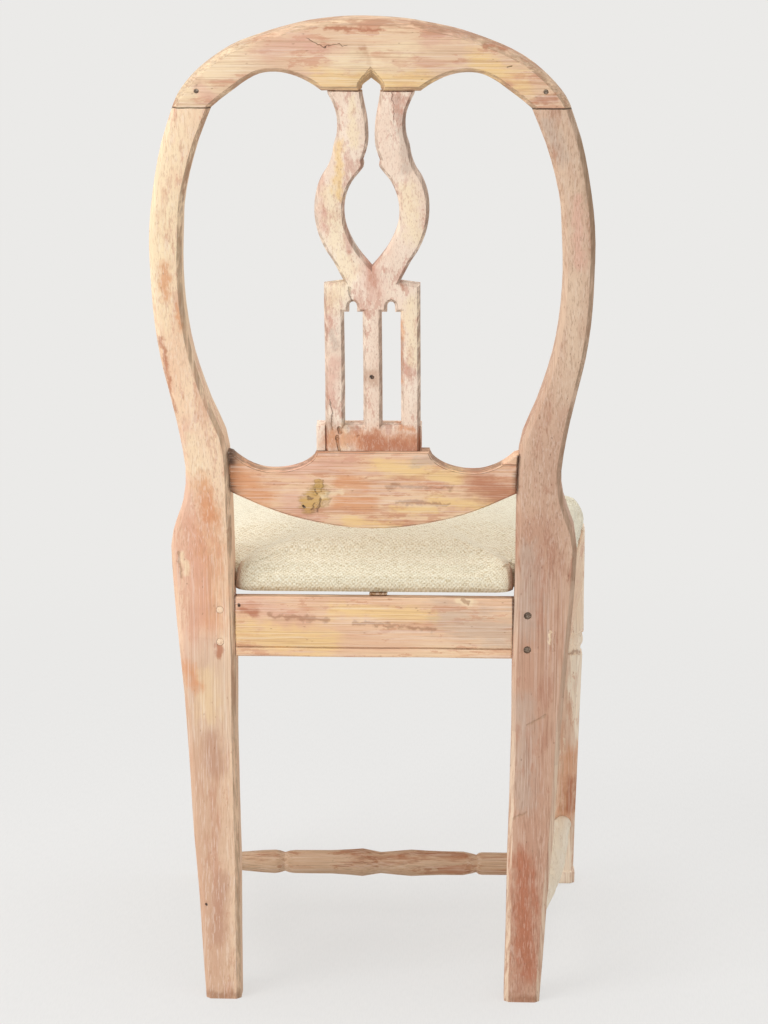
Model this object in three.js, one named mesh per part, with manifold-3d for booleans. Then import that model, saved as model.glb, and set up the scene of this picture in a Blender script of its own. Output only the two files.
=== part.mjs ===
// Balloon back dining chair with a splat and a lift-out slip seat, in millimetres.
// +Z is up, the sitter faces -Y, and +X is the sitter's left.
// The pieces are laid out from a zero line at the rear face of the back posts at
// the seat, and the finished chair is then centred over its own footprint.

import * as THREE from 'three';
import { mergeVertices } from 'three/addons/utils/BufferGeometryUtils.js';
import Module from 'manifold-3d';

const wasm = await Module();
wasm.setup();

// Driving dimensions
const seatHeight = 406; // top of the side and front rails
const seatDepth = 406.5; // rear face of the back posts to the front of the front legs
const seatFrontWidth = 438; // over the front leg blocks
const seatRearWidth = 395.6; // over the back posts where the back begins to lean
const footRearWidth = 331.8; // over the back feet
const waistWidth = 363.6; // over the posts at their narrow place above the seat
const balloonWidth = 420.4; // over the posts at the widest place of the balloon
const backLength = 536.5; // along the leaning back, from its bend to the top of the crest
const rake = THREE.MathUtils.degToRad(10); // lean of the back

// Joinery
const clearance = 0.3; // between pieces that touch
const overrun = 6; // how far a cutting solid passes the face that it opens
const tenonThickness = 8;
const chamfer = 4.5; // worn bevel along the posts and the crest rail
const edgeBreak = 1.2; // small bevel along sawn rails and battens

// Back posts
const bendRise = 30; // from the rails' tops to where the leg's line and the back's line meet
const bendTangent = 30; // how far the bend reaches each way
const postFaceWidth = 59; // width of a post seen from behind, at the seat
const postDepth = 40; // front to rear at the seat
const legSweep = 25; // how far the back feet stand behind the seat
const sweepStartShare = 0.76; // of the bend height
const legOuterShares = [[0, 0], [0.105, 0.11], [0.24, 0.23], [0.39, 0.41], [0.54, 0.53],
  [0.67, 0.64], [0.78, 0.77], [0.885, 0.9], [0.94, 0.95], [1, 1]];
const waistOuterShares = [[0.035, 1.03], [0.056, 0.96], [0.072, 0.78], [0.099, 0.45],
  [0.129, 0.16], [0.167, 0]];
const balloonOuterShares = [[0.206, 0.05], [0.262, 0.22], [0.318, 0.44], [0.393, 0.745],
  [0.467, 0.93], [0.54, 0.995], [0.615, 1], [0.685, 0.87], [0.774, 0.55], [0.846, 0.11]];
const legWidthShares = [[0, 0.593], [0.12, 0.645], [0.21, 0.675], [0.344, 0.75], [0.54, 0.8],
  [0.635, 0.83], [0.79, 0.924], [0.92, 0.98]];
const backWidthShares = [[0.035, 1.01], [0.056, 0.99], [0.072, 0.94], [0.099, 0.85],
  [0.129, 0.768], [0.167, 0.718], [0.226, 0.728], [0.257, 0.7], [0.282, 0.642],
  [0.318, 0.585], [0.393, 0.532], [0.467, 0.51], [0.54, 0.503], [0.615, 0.528],
  [0.685, 0.514], [0.774, 0.566], [0.846, 0.612]];
const depthShares = [[0, 0.75], [0.25, 0.9], [0.42, 1], [0.47, 1], [0.57, 0.9], [0.75, 0.74],
  [0.92, 0.65]];
const legStations = 12;
const backStations = 30;

// Crest rail
const crestJointShare = 0.846; // of the back's length, where the posts end
const crestTopShares = [[1, 0], [0.97, 0.15], [0.9, 0.345], [0.815, 0.51], [0.697, 0.68],
  [0.57, 0.79], [0.44, 0.88], [0.31, 0.95], [0.16, 0.99], [0.03, 1], [-0.14, 0.98],
  [-0.27, 0.935], [-0.43, 0.86], [-0.56, 0.765], [-0.69, 0.645], [-0.8, 0.5],
  [-0.89, 0.33], [-0.965, 0.14], [-1, 0]];
const crestArchShares = [[1, 0], [0.935, 0.1], [0.86, 0.2], [0.785, 0.3], [0.7, 0.38],
  [0.62, 0.405], [0.538, 0.393], [0.457, 0.35], [0.37, 0.27], [0.309, 0.192]];
const strandSeatShare = 0.185; // of the crest's rise, where the splat's strands end
const crestTenonShares = { near: 0.07, far: 0.55, rise: 0.225 };
const notchShares = [[1, 0], [1, 0.2], [0.93, 0.38], [0.6, 0.62], [0.29, 0.81], [0, 1]];
const notchRearRise = 24; // from the strands' tops to the point of the notch, rear face
const notchFrontRiseShare = 0.43; // of the rise at the rear face
const notchFlareDepthShare = 0.6; // of the crest's thickness
const notchFlareShare = 1.5; // width at the rear face over the width at the front face

// Splat
const splatHalfWidth = 54;
const splatThickness = 14;
const splatInset = 3; // rear face of the splat in front of the posts' rear plane
const splatChamfer = 3;
const strandOuterShares = [[0.767, 1], [0.685, 0.976], [0.615, 0.947], [0.589, 0.916],
  [0.605, 0.882], [0.655, 0.856], [0.69, 0.826], [0.765, 0.795], [0.87, 0.769],
  [0.95, 0.738], [0.995, 0.7], [0.99, 0.655], [0.925, 0.61], [0.81, 0.569],
  [0.675, 0.536], [0.491, 0.48]];
const strandInnerShares = [[0.163, 1], [0.12, 0.965], [0.072, 0.925], [0.056, 0.88],
  [0.075, 0.849], [0.148, 0.815]];
const hollowShares = [[0.148, 0.815], [0.133, 0.799], [0.225, 0.779], [0.345, 0.755],
  [0.44, 0.72], [0.48, 0.68], [0.455, 0.64], [0.36, 0.6], [0.22, 0.563], [0, 0.521]];
const barOuterShare = 0.845;
const barShoulderShares = { outer: 0.473, inner: 0.48 };
const slotShares = { inner: 0.167, outer: 0.5, bottom: 0.0724, top: 0.395 };
const keyholeShares = { centre: 0.335, halfWidth: 0.07, shoulder: 0.407, top: 0.424 };
const splatTenonShares = { width: 0.55, strand: 0.3 };
const splatTenonLength = 11;

// Shoe under the splat, and the lower back rail that carries it
const shoeHalfWidth = 50.5;
const shoeThickness = 17.6;
const shoeOffset = 3.8; // to the sitter's left of the splat's middle
const lowerRailTop = 117.7; // above the bend, along the back
const lowerRailFall = 79.2; // from the flat top down to the lowest point of the bow
const lowerRailThickness = 16;
const lowerRailInset = 1;
const lowerRailTopShares = [[0.965, 0.962], [0.935, 0.91], [0.865, 0.822], [0.795, 0.768],
  [0.73, 0.74], [0.655, 0.737], [0.585, 0.753], [0.52, 0.785], [0.46, 0.835],
  [0.405, 0.915], [0.385, 1]];
const lowerRailEndShare = 0.978; // height of the ends' tops, of the rail's fall
const lowerRailBottomShares = [[-1, 0.466], [-0.88, 0.376], [-0.74, 0.263], [-0.587, 0.165],
  [-0.4, 0.08], [-0.2, 0.02], [0, 0], [0.2, 0.02], [0.4, 0.08], [0.587, 0.165],
  [0.74, 0.263], [0.88, 0.376], [1, 0.466]];
const endStepCount = 5;
const lowerTenonShares = { bottom: 0.56, top: 0.88 };
const lowerTenonLength = 20;
const patchSeamShare = 0.845; // height of the glued repair's seam, of the rail's fall
const patchStartShare = 0.8; // of the rail's half length

// Seat rails
const railHeight = 60;
const railThickness = 22;
const rearRailThickness = 16;
const rearRailInset = 3; // in front of the posts' rear plane
const rearRailDrop = 2.4; // the rear rail lies this much lower than the others
const frontRailInset = 3;
const sideRailInset = 1.6;
const railTenonHeightShare = 0.76;
const rearTenonLength = 28;
const frontTenonLength = 17.5;
const sideTenonLength = 20;
const sideTenonThicknessShare = 0.36; // of the rail's thickness
const beadGroove = 1.5;
const beadHeightShare = 0.16; // of the rail's height

// Front legs
const legBlock = 41;
const blockHeight = 115.5;
const ringHeight = 28;
const footHeight = 13.5;
const ringShares = [[0, 0.945], [0.06, 0.95], [0.13, 0.86], [0.3, 0.83], [0.46, 0.87],
  [0.51, 0.925], [0.62, 0.965], [0.76, 0.965], [0.87, 0.905], [0.94, 0.9], [1, 1]];
const footShares = [[0, 0.64], [0.06, 0.685], [0.9, 0.695], [1, 0.66]];
const ankleShare = 0.605;
const ankleRiseShare = 0.06;
const shaftChamferShare = 0.3;
const blockChamferShare = 0.09;

// Stretchers
const stretcherHeight = 69;
const stretcherRadius = 12.6;
const stretcherEnd = 15; // length held inside a leg
const crossForward = 218; // from the rear plane to the cross stretcher
const crossTenonRadius = 6.6;
const crossTenonLength = 8.5;
const crossShoulderGap = 1.4; // the cross stretcher's end stands off the slanting side stretcher
const sideRearShare = 0.66; // where a side stretcher enters the post, of the post's width
const sideProfileShares = [[0, 0.76], [0.045, 0.76], [0.13, 0.78], [0.2, 0.87], [0.27, 0.99],
  [0.34, 1.12], [0.37, 1.14], [0.385, 0.95], [0.4, 1.16], [0.45, 1.22], [0.52, 1.24],
  [0.59, 1.22], [0.615, 1.17], [0.628, 1.03], [0.641, 1.15], [0.7, 1.1], [0.77, 1],
  [0.85, 0.79], [0.955, 0.76], [1, 0.76]];
const crossProfileShares = [[-1, 0.72], [-0.93, 0.78], [-0.83, 0.95], [-0.66, 0.96],
  [-0.64, 0.9], [-0.625, 0.745], [-0.595, 0.85], [-0.54, 1], [-0.4, 1.01], [-0.3, 1.05],
  [-0.2, 1.12], [-0.09, 1.0], [0, 0.9], [0.06, 1.04], [0.12, 1.18], [0.2, 1.09], [0.32, 1],
  [0.56, 0.99], [0.595, 0.93], [0.625, 0.8], [0.66, 0.94], [0.69, 1], [0.77, 0.95],
  [0.93, 0.77], [1, 0.72]];
const turningSides = 16;

// Pegs
const pegRadius = 3.6;
const pegClearance = 0.25;
const pegSides = 10;
const pegTenonShare = 0.53; // of the tenon's length, from its shoulder
const pegEndShare = 0.62; // how far a peg reaches into the piece, of that piece's depth
const leftPegShares = [0.21, 0.75]; // of the rail's height, from the top
const rightPegShares = [0.27, 0.84];
const hiddenPegShares = [0.27, 0.73];
const flushRecess = 0.2;
const sunkRecess = 1.6;
const crestPegRadius = 2.1;
const crestPegShares = { side: 0.355, rise: 0.195 };

// Slip seat
const battenThickness = 14;
const battenWidth = 42;
const cushionLip = 3.6; // cloth and wadding round the frame's edge
const cushionRearGap = 17; // from the rear plane to the cushion
const cushionPostGap = 3; // between the cushion and the posts' front faces
const cushionSideInset = 0.5;
const cushionEdge = 35; // height of the cushion's upright edge
const cushionCrown = 28;
const cushionCornerRadius = 30;
const cushionNotchRadius = 7;
const cushionPoints = 96;
const cushionSideShares = [[1, 0], [0.3, 0.22], [0, 0.5], [0.35, 0.74], [1.4, 0.9], [3.2, 1]];
const cushionBulge = 3.4; // how far the edge is drawn in where it meets the rails
const crownRingShares = [0.93, 0.8, 0.62, 0.42, 0.2];
const crownRoundShare = 0.86;
const webWidth = 50;
const webThickness = 1.2;
const webCount = 3;
const webSlack = 1.2; // straight stretch of a strap beyond the strap that it crosses
const webSpreadShare = 0.6; // outermost strap's middle, of the half opening
const webLapShare = 0.6; // of the batten's width
const packingWidth = 17.6;
const packingDepth = 32;
const frameBandReach = 60; // how far a side batten's blank passes the rail's ends
const packingOffset = 4; // to the sitter's right of the chair's middle

// Finishes
const finishes = {
  post: { color: 0xc99f86, roughness: 0.72, metalness: 0 },
  crest: { color: 0xe2bd94, roughness: 0.7, metalness: 0 },
  splat: { color: 0xe6c39c, roughness: 0.7, metalness: 0 },
  lowerRail: { color: 0xcf9775, roughness: 0.68, metalness: 0 },
  rail: { color: 0xd9ae86, roughness: 0.7, metalness: 0 },
  leg: { color: 0xc79a72, roughness: 0.7, metalness: 0 },
  stretcher: { color: 0xb98d6a, roughness: 0.66, metalness: 0 },
  paleStretcher: { color: 0xddcfb0, roughness: 0.75, metalness: 0 },
  peg: { color: 0xd8b48e, roughness: 0.8, metalness: 0 },
  darkPeg: { color: 0x5d5348, roughness: 0.85, metalness: 0 },
  batten: { color: 0xd6b78d, roughness: 0.8, metalness: 0 },
  webbing: { color: 0x9c7f55, roughness: 0.95, metalness: 0 },
  linen: { color: 0xe3d6b4, roughness: 0.95, metalness: 0 },
};

// Steps in the sampled curves
const outlineSteps = {
  crestTop: 46, crestArch: 22, strand: 44, neck: 14, hollow: 24, scoop: 20, bow: 30,
};

// Sizes worked out from the driving ones
const half = 1 / 2;
const bendHeight = seatHeight + bendRise;
const halfFront = seatFrontWidth * half;
const frontAxisX = halfFront - legBlock * half;
const frontAxisY = -(seatDepth - legBlock * half);
const blockInnerX = halfFront - legBlock;
const blockRearY = -(seatDepth - legBlock);
const railBottom = seatHeight - railHeight;
const shaftTop = seatHeight - blockHeight - ringHeight;
const jointRise = crestJointShare * backLength;
const crestRise = backLength - jointRise;
const strandSeat = jointRise + strandSeatShare * crestRise;
const splatLength = strandSeat - lowerRailTop;
const lowerRailBottom = lowerRailTop - lowerRailFall;

// Solids from geometries, and back
function toSolid(geometry) {
  const plain = geometry.clone();
  plain.deleteAttribute('normal');
  plain.deleteAttribute('uv');
  const merged = mergeVertices(plain);
  const vertProperties = new Float32Array(merged.attributes.position.array);
  const triVerts = new Uint32Array(merged.index.array);
  return new wasm.Manifold(new wasm.Mesh({ numProp: 3, vertProperties, triVerts }));
}

function toGeometry(solid) {
  const mesh = solid.getMesh();
  const geometry = new THREE.BufferGeometry();
  geometry.setAttribute('position', new THREE.BufferAttribute(mesh.vertProperties, 3));
  geometry.setIndex(new THREE.BufferAttribute(mesh.triVerts, 1));
  geometry.computeVertexNormals();
  return geometry;
}

function cut(geometry, tools) {
  return toGeometry(tools.reduce((solid, tool) => solid.subtract(toSolid(tool)), toSolid(geometry)));
}

function join(geometry, additions) {
  return toGeometry(additions.reduce((solid, more) => solid.add(toSolid(more)), toSolid(geometry)));
}

function common(geometry, other) {
  return toGeometry(toSolid(geometry).intersect(toSolid(other)));
}

// Mirrors an indexed geometry through the chair's middle plane
function mirrored(geometry) {
  const copy = geometry.clone().scale(-1, 1, 1);
  const index = copy.index.array;
  for (let i = 0; i < index.length; i += 3) {
    [index[i], index[i + 1]] = [index[i + 1], index[i]];
  }
  copy.computeVertexNormals();
  return copy;
}

// A box given by its limits along each axis
function box([x0, x1], [y0, y1], [z0, z1]) {
  const geometry = new THREE.BoxGeometry(x1 - x0, y1 - y0, z1 - z0);
  return geometry.translate((x0 + x1) * half, (y0 + y1) * half, (z0 + z1) * half);
}

function widened([low, high], by) {
  return [low - by, high + by];
}

// A round bar from one point to another
function roundBar(start, end, radius, sides) {
  const length = start.distanceTo(end);
  const bar = new THREE.CylinderGeometry(radius, radius, length, sides);
  bar.translate(0, length * half, 0);
  const turn = new THREE.Quaternion();
  turn.setFromUnitVectors(new THREE.Vector3(0, 1, 0), end.clone().sub(start).normalize());
  return bar.applyQuaternion(turn).translate(start.x, start.y, start.z);
}

// A smooth curve through the rows [place, value] of a table
function smoothTable(rows) {
  const slopes = rows.map((row, i) => {
    const before = rows[Math.max(i - 1, 0)];
    const after = rows[Math.min(i + 1, rows.length - 1)];
    return (after[1] - before[1]) / (after[0] - before[0]);
  });
  return (place) => {
    const last = rows.length - 2;
    const found = rows.findIndex((row) => row[0] > place) - 1;
    const i = found < 0 ? (place <= rows[0][0] ? 0 : last) : found;
    const span = rows[i + 1][0] - rows[i][0];
    const t = THREE.MathUtils.clamp((place - rows[i][0]) / span, 0, 1);
    const rise = rows[i + 1][1] - rows[i][1];
    const bend = (slopes[i] * span - rise) * (1 - t) - (slopes[i + 1] * span - rise) * t;
    return rows[i][1] + rise * t + t * (1 - t) * bend;
  };
}

// A solid skinned over rings of equal count; each ring turns anticlockwise as seen
// from the side that the rings advance to
function loft(rings) {
  const count = rings[0].length;
  const middles = [rings[0], rings[rings.length - 1]].map((ring) => {
    const sum = ring.reduce((total, point) => total.add(point), new THREE.Vector3());
    return sum.divideScalar(count);
  });
  const points = [...rings.flat(), ...middles];
  const index = [];
  const first = points.length - 2;
  const top = (rings.length - 1) * count;
  for (let i = 0; i < count; i += 1) {
    const next = (i + 1) % count;
    for (let base = 0; base < top; base += count) {
      index.push(base + i, base + next, base + count + next);
      index.push(base + i, base + count + next, base + count + i);
    }
    index.push(first, next, i, first + 1, top + i, top + next);
  }
  const geometry = new THREE.BufferGeometry();
  const positions = points.flatMap((point) => point.toArray());
  geometry.setAttribute('position', new THREE.Float32BufferAttribute(positions, 3));
  geometry.setIndex(index);
  geometry.computeVertexNormals();
  return geometry;
}

// A sawn board: the outline lies in X and Z, the rear face at -inset, and the bevel
// runs round both faces
function board(shape, thickness, inset, bevel) {
  const geometry = new THREE.ExtrudeGeometry(shape, {
    depth: thickness - 2 * bevel,
    bevelEnabled: bevel > 0,
    bevelThickness: bevel,
    bevelSize: bevel,
    bevelOffset: -bevel,
    bevelSegments: 1,
    curveSegments: 6,
  });
  return geometry.translate(0, 0, bevel + inset).rotateX(Math.PI * half);
}

// Cuts a hole through a board and leaves the board's bevel round it
function holeCutter(shape, thickness, inset, bevel) {
  const flare = bevel + clearance;
  const geometry = new THREE.ExtrudeGeometry(shape, {
    depth: thickness - 2 * bevel,
    bevelThickness: flare,
    bevelSize: -flare,
    bevelOffset: flare,
    bevelSegments: 1,
    curveSegments: 4,
  });
  return geometry.translate(0, 0, bevel + inset).rotateX(Math.PI * half);
}

// A flat plate: the outline lies in X and Y, between two heights
function plate(shape, low, high) {
  const geometry = new THREE.ExtrudeGeometry(shape, { depth: high - low, bevelEnabled: false });
  return geometry.translate(0, 0, low);
}

function spline(points, steps) {
  return new THREE.SplineCurve(points).getPoints(steps);
}

function vectors(rows, xUnit, zUnit, zStart) {
  return rows.map(([x, z]) => new THREE.Vector2(x * xUnit, zStart + z * zUnit));
}

function flipped(points) {
  return points.map((point) => new THREE.Vector2(-point.x, point.y)).reverse();
}

// The back's own frame leans about the bend; its Z runs up the back
const backFrame = new THREE.Matrix4()
  .makeTranslation(0, 0, bendHeight)
  .multiply(new THREE.Matrix4().makeRotationX(-rake));

function leaning(geometry) {
  return geometry.clone().applyMatrix4(backFrame);
}

// The rear face of a post: place is measured from the bend, upwards positive
function postLine(place) {
  const radius = bendTangent / Math.tan(rake * half);
  const sweepStart = sweepStartShare * bendHeight;
  if (place <= -bendTangent) {
    const drop = Math.max(0, 1 - (bendHeight + place) / sweepStart);
    return { y: legSweep * drop * drop, z: bendHeight + place, tilt: 0 };
  }
  if (place < bendTangent) {
    const tilt = (rake * (place + bendTangent)) / (2 * bendTangent);
    const z = bendHeight - bendTangent + radius * Math.sin(tilt);
    return { y: radius * (1 - Math.cos(tilt)), z, tilt };
  }
  return { y: place * Math.sin(rake), z: bendHeight + place * Math.cos(rake), tilt: rake };
}

// Widths of a post by place, from its tables of shares
function postTables() {
  const mix = (from, to, share) => from + (to - from) * share;
  const legPlace = (share) => (share - 1) * bendHeight;
  const outerRows = [
    ...legOuterShares.map(([p, s]) => [legPlace(p), mix(footRearWidth, seatRearWidth, s) * half]),
    ...waistOuterShares.map(([p, s]) => [p * backLength, mix(waistWidth, seatRearWidth, s) * half]),
    ...balloonOuterShares.map(([p, s]) => [p * backLength, mix(waistWidth, balloonWidth, s) * half]),
  ];
  const widthRows = [
    ...legWidthShares.map(([p, s]) => [legPlace(p), postFaceWidth * s]),
    ...backWidthShares.map(([p, s]) => [p * backLength, postFaceWidth * s]),
  ];
  const span = bendHeight + backLength;
  const depthRows = depthShares.map(([p, s]) => [p * span - bendHeight, postDepth * s]);
  return { outer: smoothTable(outerRows), width: smoothTable(widthRows), depth: smoothTable(depthRows) };
}

const postTable = postTables();
const outerAt = postTable.outer;
const innerAt = (place) => postTable.outer(place) - postTable.width(place);
const depthAt = postTable.depth;
const crestThickness = depthAt(jointRise);

// One ring round a post: a bevelled rectangle square to the post's line
function postRing(place) {
  const { y, z, tilt } = postLine(place);
  const outer = outerAt(place);
  const inner = innerAt(place);
  const depth = depthAt(place);
  const corners = [[outer, chamfer], [outer - chamfer, 0], [inner + chamfer, 0], [inner, chamfer],
    [inner, depth - chamfer], [inner + chamfer, depth], [outer - chamfer, depth],
    [outer, depth - chamfer]];
  return corners.map(([x, forward]) => {
    const dy = forward * Math.cos(tilt);
    return new THREE.Vector3(x, y - dy, z + forward * Math.sin(tilt));
  });
}

function postBlank() {
  const places = [];
  for (let i = 0; i < legStations; i += 1) {
    places.push(-bendHeight + ((bendHeight - bendTangent) * i) / legStations);
  }
  for (let i = 0; i <= backStations; i += 1) {
    places.push(-bendTangent + ((jointRise - clearance + bendTangent) * i) / backStations);
  }
  return loft(places.map(postRing));
}

// Tenons, and the mortises that take them when they are grown by the clearance
function rearRailTenon(grow) {
  const inner = innerAt(railBottom - bendHeight);
  const middle = -(rearRailInset + rearRailThickness * half);
  const height = railHeight * railTenonHeightShare * half;
  const centre = seatHeight - rearRailDrop - railHeight * half;
  const across = widened([middle - tenonThickness * half, middle + tenonThickness * half], grow);
  return box([inner - overrun, inner + rearTenonLength + grow], across,
    widened([centre - height, centre + height], grow));
}

function crestTenon(grow) {
  const inner = innerAt(jointRise);
  const width = outerAt(jointRise) - inner;
  const across = [inner + width * crestTenonShares.near, inner + width * crestTenonShares.far];
  const middle = -crestThickness * half;
  const depth = [middle - tenonThickness * half, middle + tenonThickness * half];
  const rise = [jointRise - overrun, jointRise + crestRise * crestTenonShares.rise + grow];
  return box(widened(across, grow), widened(depth, grow), rise);
}

function lowerRailTenon(grow) {
  const low = lowerRailBottom + lowerRailFall * lowerTenonShares.bottom;
  const high = lowerRailBottom + lowerRailFall * lowerTenonShares.top;
  const inner = Math.min(innerAt(low), innerAt(high));
  const middle = -(lowerRailInset + lowerRailThickness * half);
  const depth = [middle - tenonThickness * half, middle + tenonThickness * half];
  return box([inner - overrun, inner + lowerTenonLength + grow], widened(depth, grow),
    widened([low, high], grow));
}

// The line of a side rail in plan, from the post's front face to the front block
function sideRailPlan() {
  const rearOuter = outerAt(railBottom + railHeight * half - bendHeight) - sideRailInset;
  const frontOuter = halfFront - sideRailInset;
  return {
    rear: new THREE.Vector2(rearOuter, -(postDepth + clearance)),
    front: new THREE.Vector2(frontOuter, blockRearY + clearance),
  };
}

function sideRailStrip(nearShare, farShare, reach, grow) {
  const { rear, front } = sideRailPlan();
  const slope = (front.x - rear.x) / (front.y - rear.y);
  const near = railThickness * nearShare - grow;
  const far = railThickness * farShare + grow;
  const start = rear.y + reach;
  const end = front.y - reach;
  const outerStart = rear.x + slope * reach;
  const outerEnd = front.x - slope * reach;
  return new THREE.Shape([
    new THREE.Vector2(outerStart - near, start),
    new THREE.Vector2(outerStart - far, start),
    new THREE.Vector2(outerEnd - far, end),
    new THREE.Vector2(outerEnd - near, end),
  ]);
}

function sideRailTenons(grow) {
  const near = (1 - sideTenonThicknessShare) * half;
  const height = railHeight * railTenonHeightShare * half;
  const centre = seatHeight - railHeight * half;
  const strip = sideRailStrip(near, 1 - near, sideTenonLength + grow, grow);
  return plate(strip, centre - height - grow, centre + height + grow);
}

function frontRailTenon(grow) {
  const middle = -(seatDepth - frontRailInset - railThickness * half);
  const height = railHeight * railTenonHeightShare * half;
  const centre = seatHeight - railHeight * half;
  const across = widened([middle - tenonThickness * half, middle + tenonThickness * half], grow);
  return box([blockInnerX - overrun, blockInnerX + frontTenonLength + grow], across,
    widened([centre - height, centre + height], grow));
}

// Pegs on the sitter's left; each is a round bar from its visible end inwards
function rearPegs(heightShares, recess, radius) {
  const x = innerAt(railBottom - bendHeight) + rearTenonLength * pegTenonShare;
  return heightShares.map((share) => {
    const z = seatHeight - rearRailDrop - railHeight * share;
    const start = new THREE.Vector3(x, -recess, z);
    const end = new THREE.Vector3(x, -postDepth * pegEndShare, z);
    return roundBar(start, end, radius, pegSides);
  });
}

function frontPegs(recess, radius) {
  const x = blockInnerX + frontTenonLength * pegTenonShare;
  return hiddenPegShares.map((share) => {
    const z = seatHeight - railHeight * share;
    const start = new THREE.Vector3(x, -(seatDepth - recess), z);
    const end = new THREE.Vector3(x, -(seatDepth - legBlock * pegEndShare), z);
    return roundBar(start, end, radius, pegSides);
  });
}

function sidePegs(atFront, recess, radius) {
  const { rear, front } = sideRailPlan();
  const into = sideTenonLength * pegTenonShare;
  const y = atFront ? front.y - into : rear.y + into;
  return hiddenPegShares.map((share) => {
    const z = seatHeight - railHeight * share;
    const outer = atFront ? halfFront : outerAt(z - bendHeight);
    const start = new THREE.Vector3(outer - recess, y, z);
    const end = new THREE.Vector3(outer - railThickness - sideRailInset, y, z);
    return roundBar(start, end, radius, pegSides);
  });
}

function crestPeg(recess, radius) {
  const x = innerAt(jointRise) + (outerAt(jointRise) - innerAt(jointRise)) * crestPegShares.side;
  const z = jointRise + crestRise * crestPegShares.rise;
  const start = new THREE.Vector3(x, -recess, z);
  return roundBar(start, new THREE.Vector3(x, -crestThickness * pegEndShare, z), radius, pegSides);
}

// Stretchers
function sideStretcherEnds() {
  const place = stretcherHeight - bendHeight;
  const shaftShare = (stretcherHeight - footHeight) / (shaftTop - footHeight);
  const shaftHalf = legBlock * half * (ankleShare + (ringShares[0][1] - ankleShare) * shaftShare);
  const rearY = postLine(place).y - depthAt(place);
  const rearX = THREE.MathUtils.lerp(innerAt(place), outerAt(place), sideRearShare);
  const rear = new THREE.Vector3(rearX, rearY, stretcherHeight);
  const front = new THREE.Vector3(frontAxisX, frontAxisY + shaftHalf, stretcherHeight);
  const reach = front.clone().sub(rear).setLength(stretcherEnd);
  return { start: rear.sub(reach), end: front.add(reach) };
}

function turned(profile, length, radius, start, end) {
  const rows = profile.map(([along, r]) => new THREE.Vector2(radius * r, length * along));
  const ends = [new THREE.Vector2(0, rows[0].y), new THREE.Vector2(0, rows[rows.length - 1].y)];
  const bar = new THREE.LatheGeometry([ends[0], ...rows, ends[1]], turningSides);
  const turn = new THREE.Quaternion();
  turn.setFromUnitVectors(new THREE.Vector3(0, 1, 0), end.clone().sub(start).normalize());
  return bar.applyQuaternion(turn);
}

function stretcherSocket() {
  const { start, end } = sideStretcherEnds();
  const beyond = end.clone().sub(start).setLength(clearance);
  const radius = stretcherRadius * sideProfileShares[0][1] + clearance;
  const from = start.clone().sub(beyond);
  return roundBar(from, end.clone().add(beyond), radius, turningSides);
}

// The side stretcher's middle line at the cross stretcher
function crossMeeting() {
  const { start, end } = sideStretcherEnds();
  const share = (-crossForward - start.y) / (end.y - start.y);
  return start.clone().lerp(end, share);
}

// Half the cross stretcher's length between its shoulders
function crossReach() {
  const swell = Math.max(...sideProfileShares.map((row) => row[1]));
  return crossMeeting().x - stretcherRadius * swell - crossShoulderGap;
}

function crossSocket() {
  const { y, z } = crossMeeting();
  const start = new THREE.Vector3(crossReach() - overrun, y, z);
  const end = new THREE.Vector3(crossReach() + crossTenonLength + clearance, y, z);
  return roundBar(start, end, crossTenonRadius + clearance, turningSides);
}

function sideStretcher() {
  const { start, end } = sideStretcherEnds();
  const length = start.distanceTo(end);
  const bar = turned(sideProfileShares, length, stretcherRadius, start, end);
  return cut(bar.translate(start.x, start.y, start.z), [crossSocket()]);
}

function crossStretcher() {
  const { y, z } = crossMeeting();
  const reach = crossReach();
  const tenonReach = reach + crossTenonLength;
  const origin = new THREE.Vector3();
  const bar = turned(crossProfileShares, reach, stretcherRadius, origin, new THREE.Vector3(1, 0, 0));
  const tenons = [-1, 1].map((side) => roundBar(
    new THREE.Vector3(side * (reach - overrun), 0, 0),
    new THREE.Vector3(side * tenonReach, 0, 0),
    crossTenonRadius,
    turningSides,
  ));
  return join(bar, tenons).translate(0, y, z);
}

// Back posts
function backPost(pegShares) {
  const rising = join(postBlank(), [leaning(crestTenon(0))]);
  return cut(rising, [
    rearRailTenon(clearance),
    leaning(lowerRailTenon(clearance)),
    sideRailTenons(clearance),
    stretcherSocket(),
    leaning(crestPeg(-overrun, crestPegRadius + pegClearance)),
    ...rearPegs(pegShares, -overrun, pegRadius + pegClearance),
    ...sidePegs(false, -overrun, pegRadius + pegClearance),
  ]);
}

// Crest rail, in the back's frame
function crestShape() {
  const jointOuter = outerAt(jointRise);
  const jointInner = innerAt(jointRise);
  const top = spline(vectors(crestTopShares, jointOuter, crestRise, jointRise), outlineSteps.crestTop);
  const arch = spline(vectors(crestArchShares, jointInner, crestRise, jointRise), outlineSteps.crestArch);
  const below = overrun;
  const corner = (x) => new THREE.Vector2(x, jointRise - below);
  const outline = [corner(jointOuter), ...top, corner(-jointOuter), corner(-jointInner)];
  outline.push(...flipped(arch).reverse(), ...arch.slice().reverse(), corner(jointInner));
  return new THREE.Shape(outline);
}

function notchRing(halfWidth, rise, forward) {
  const low = strandSeat - overrun;
  const side = notchShares.map(([x, z]) => new THREE.Vector2(x * halfWidth, strandSeat + z * rise));
  const left = side.slice(0, -1).map((point) => new THREE.Vector2(-point.x, point.y)).reverse();
  const foot = [new THREE.Vector2(-halfWidth, low), new THREE.Vector2(halfWidth, low)];
  const ring = [...side, ...left, ...foot];
  return ring.map((point) => new THREE.Vector3(point.x, -forward, point.y));
}

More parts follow.
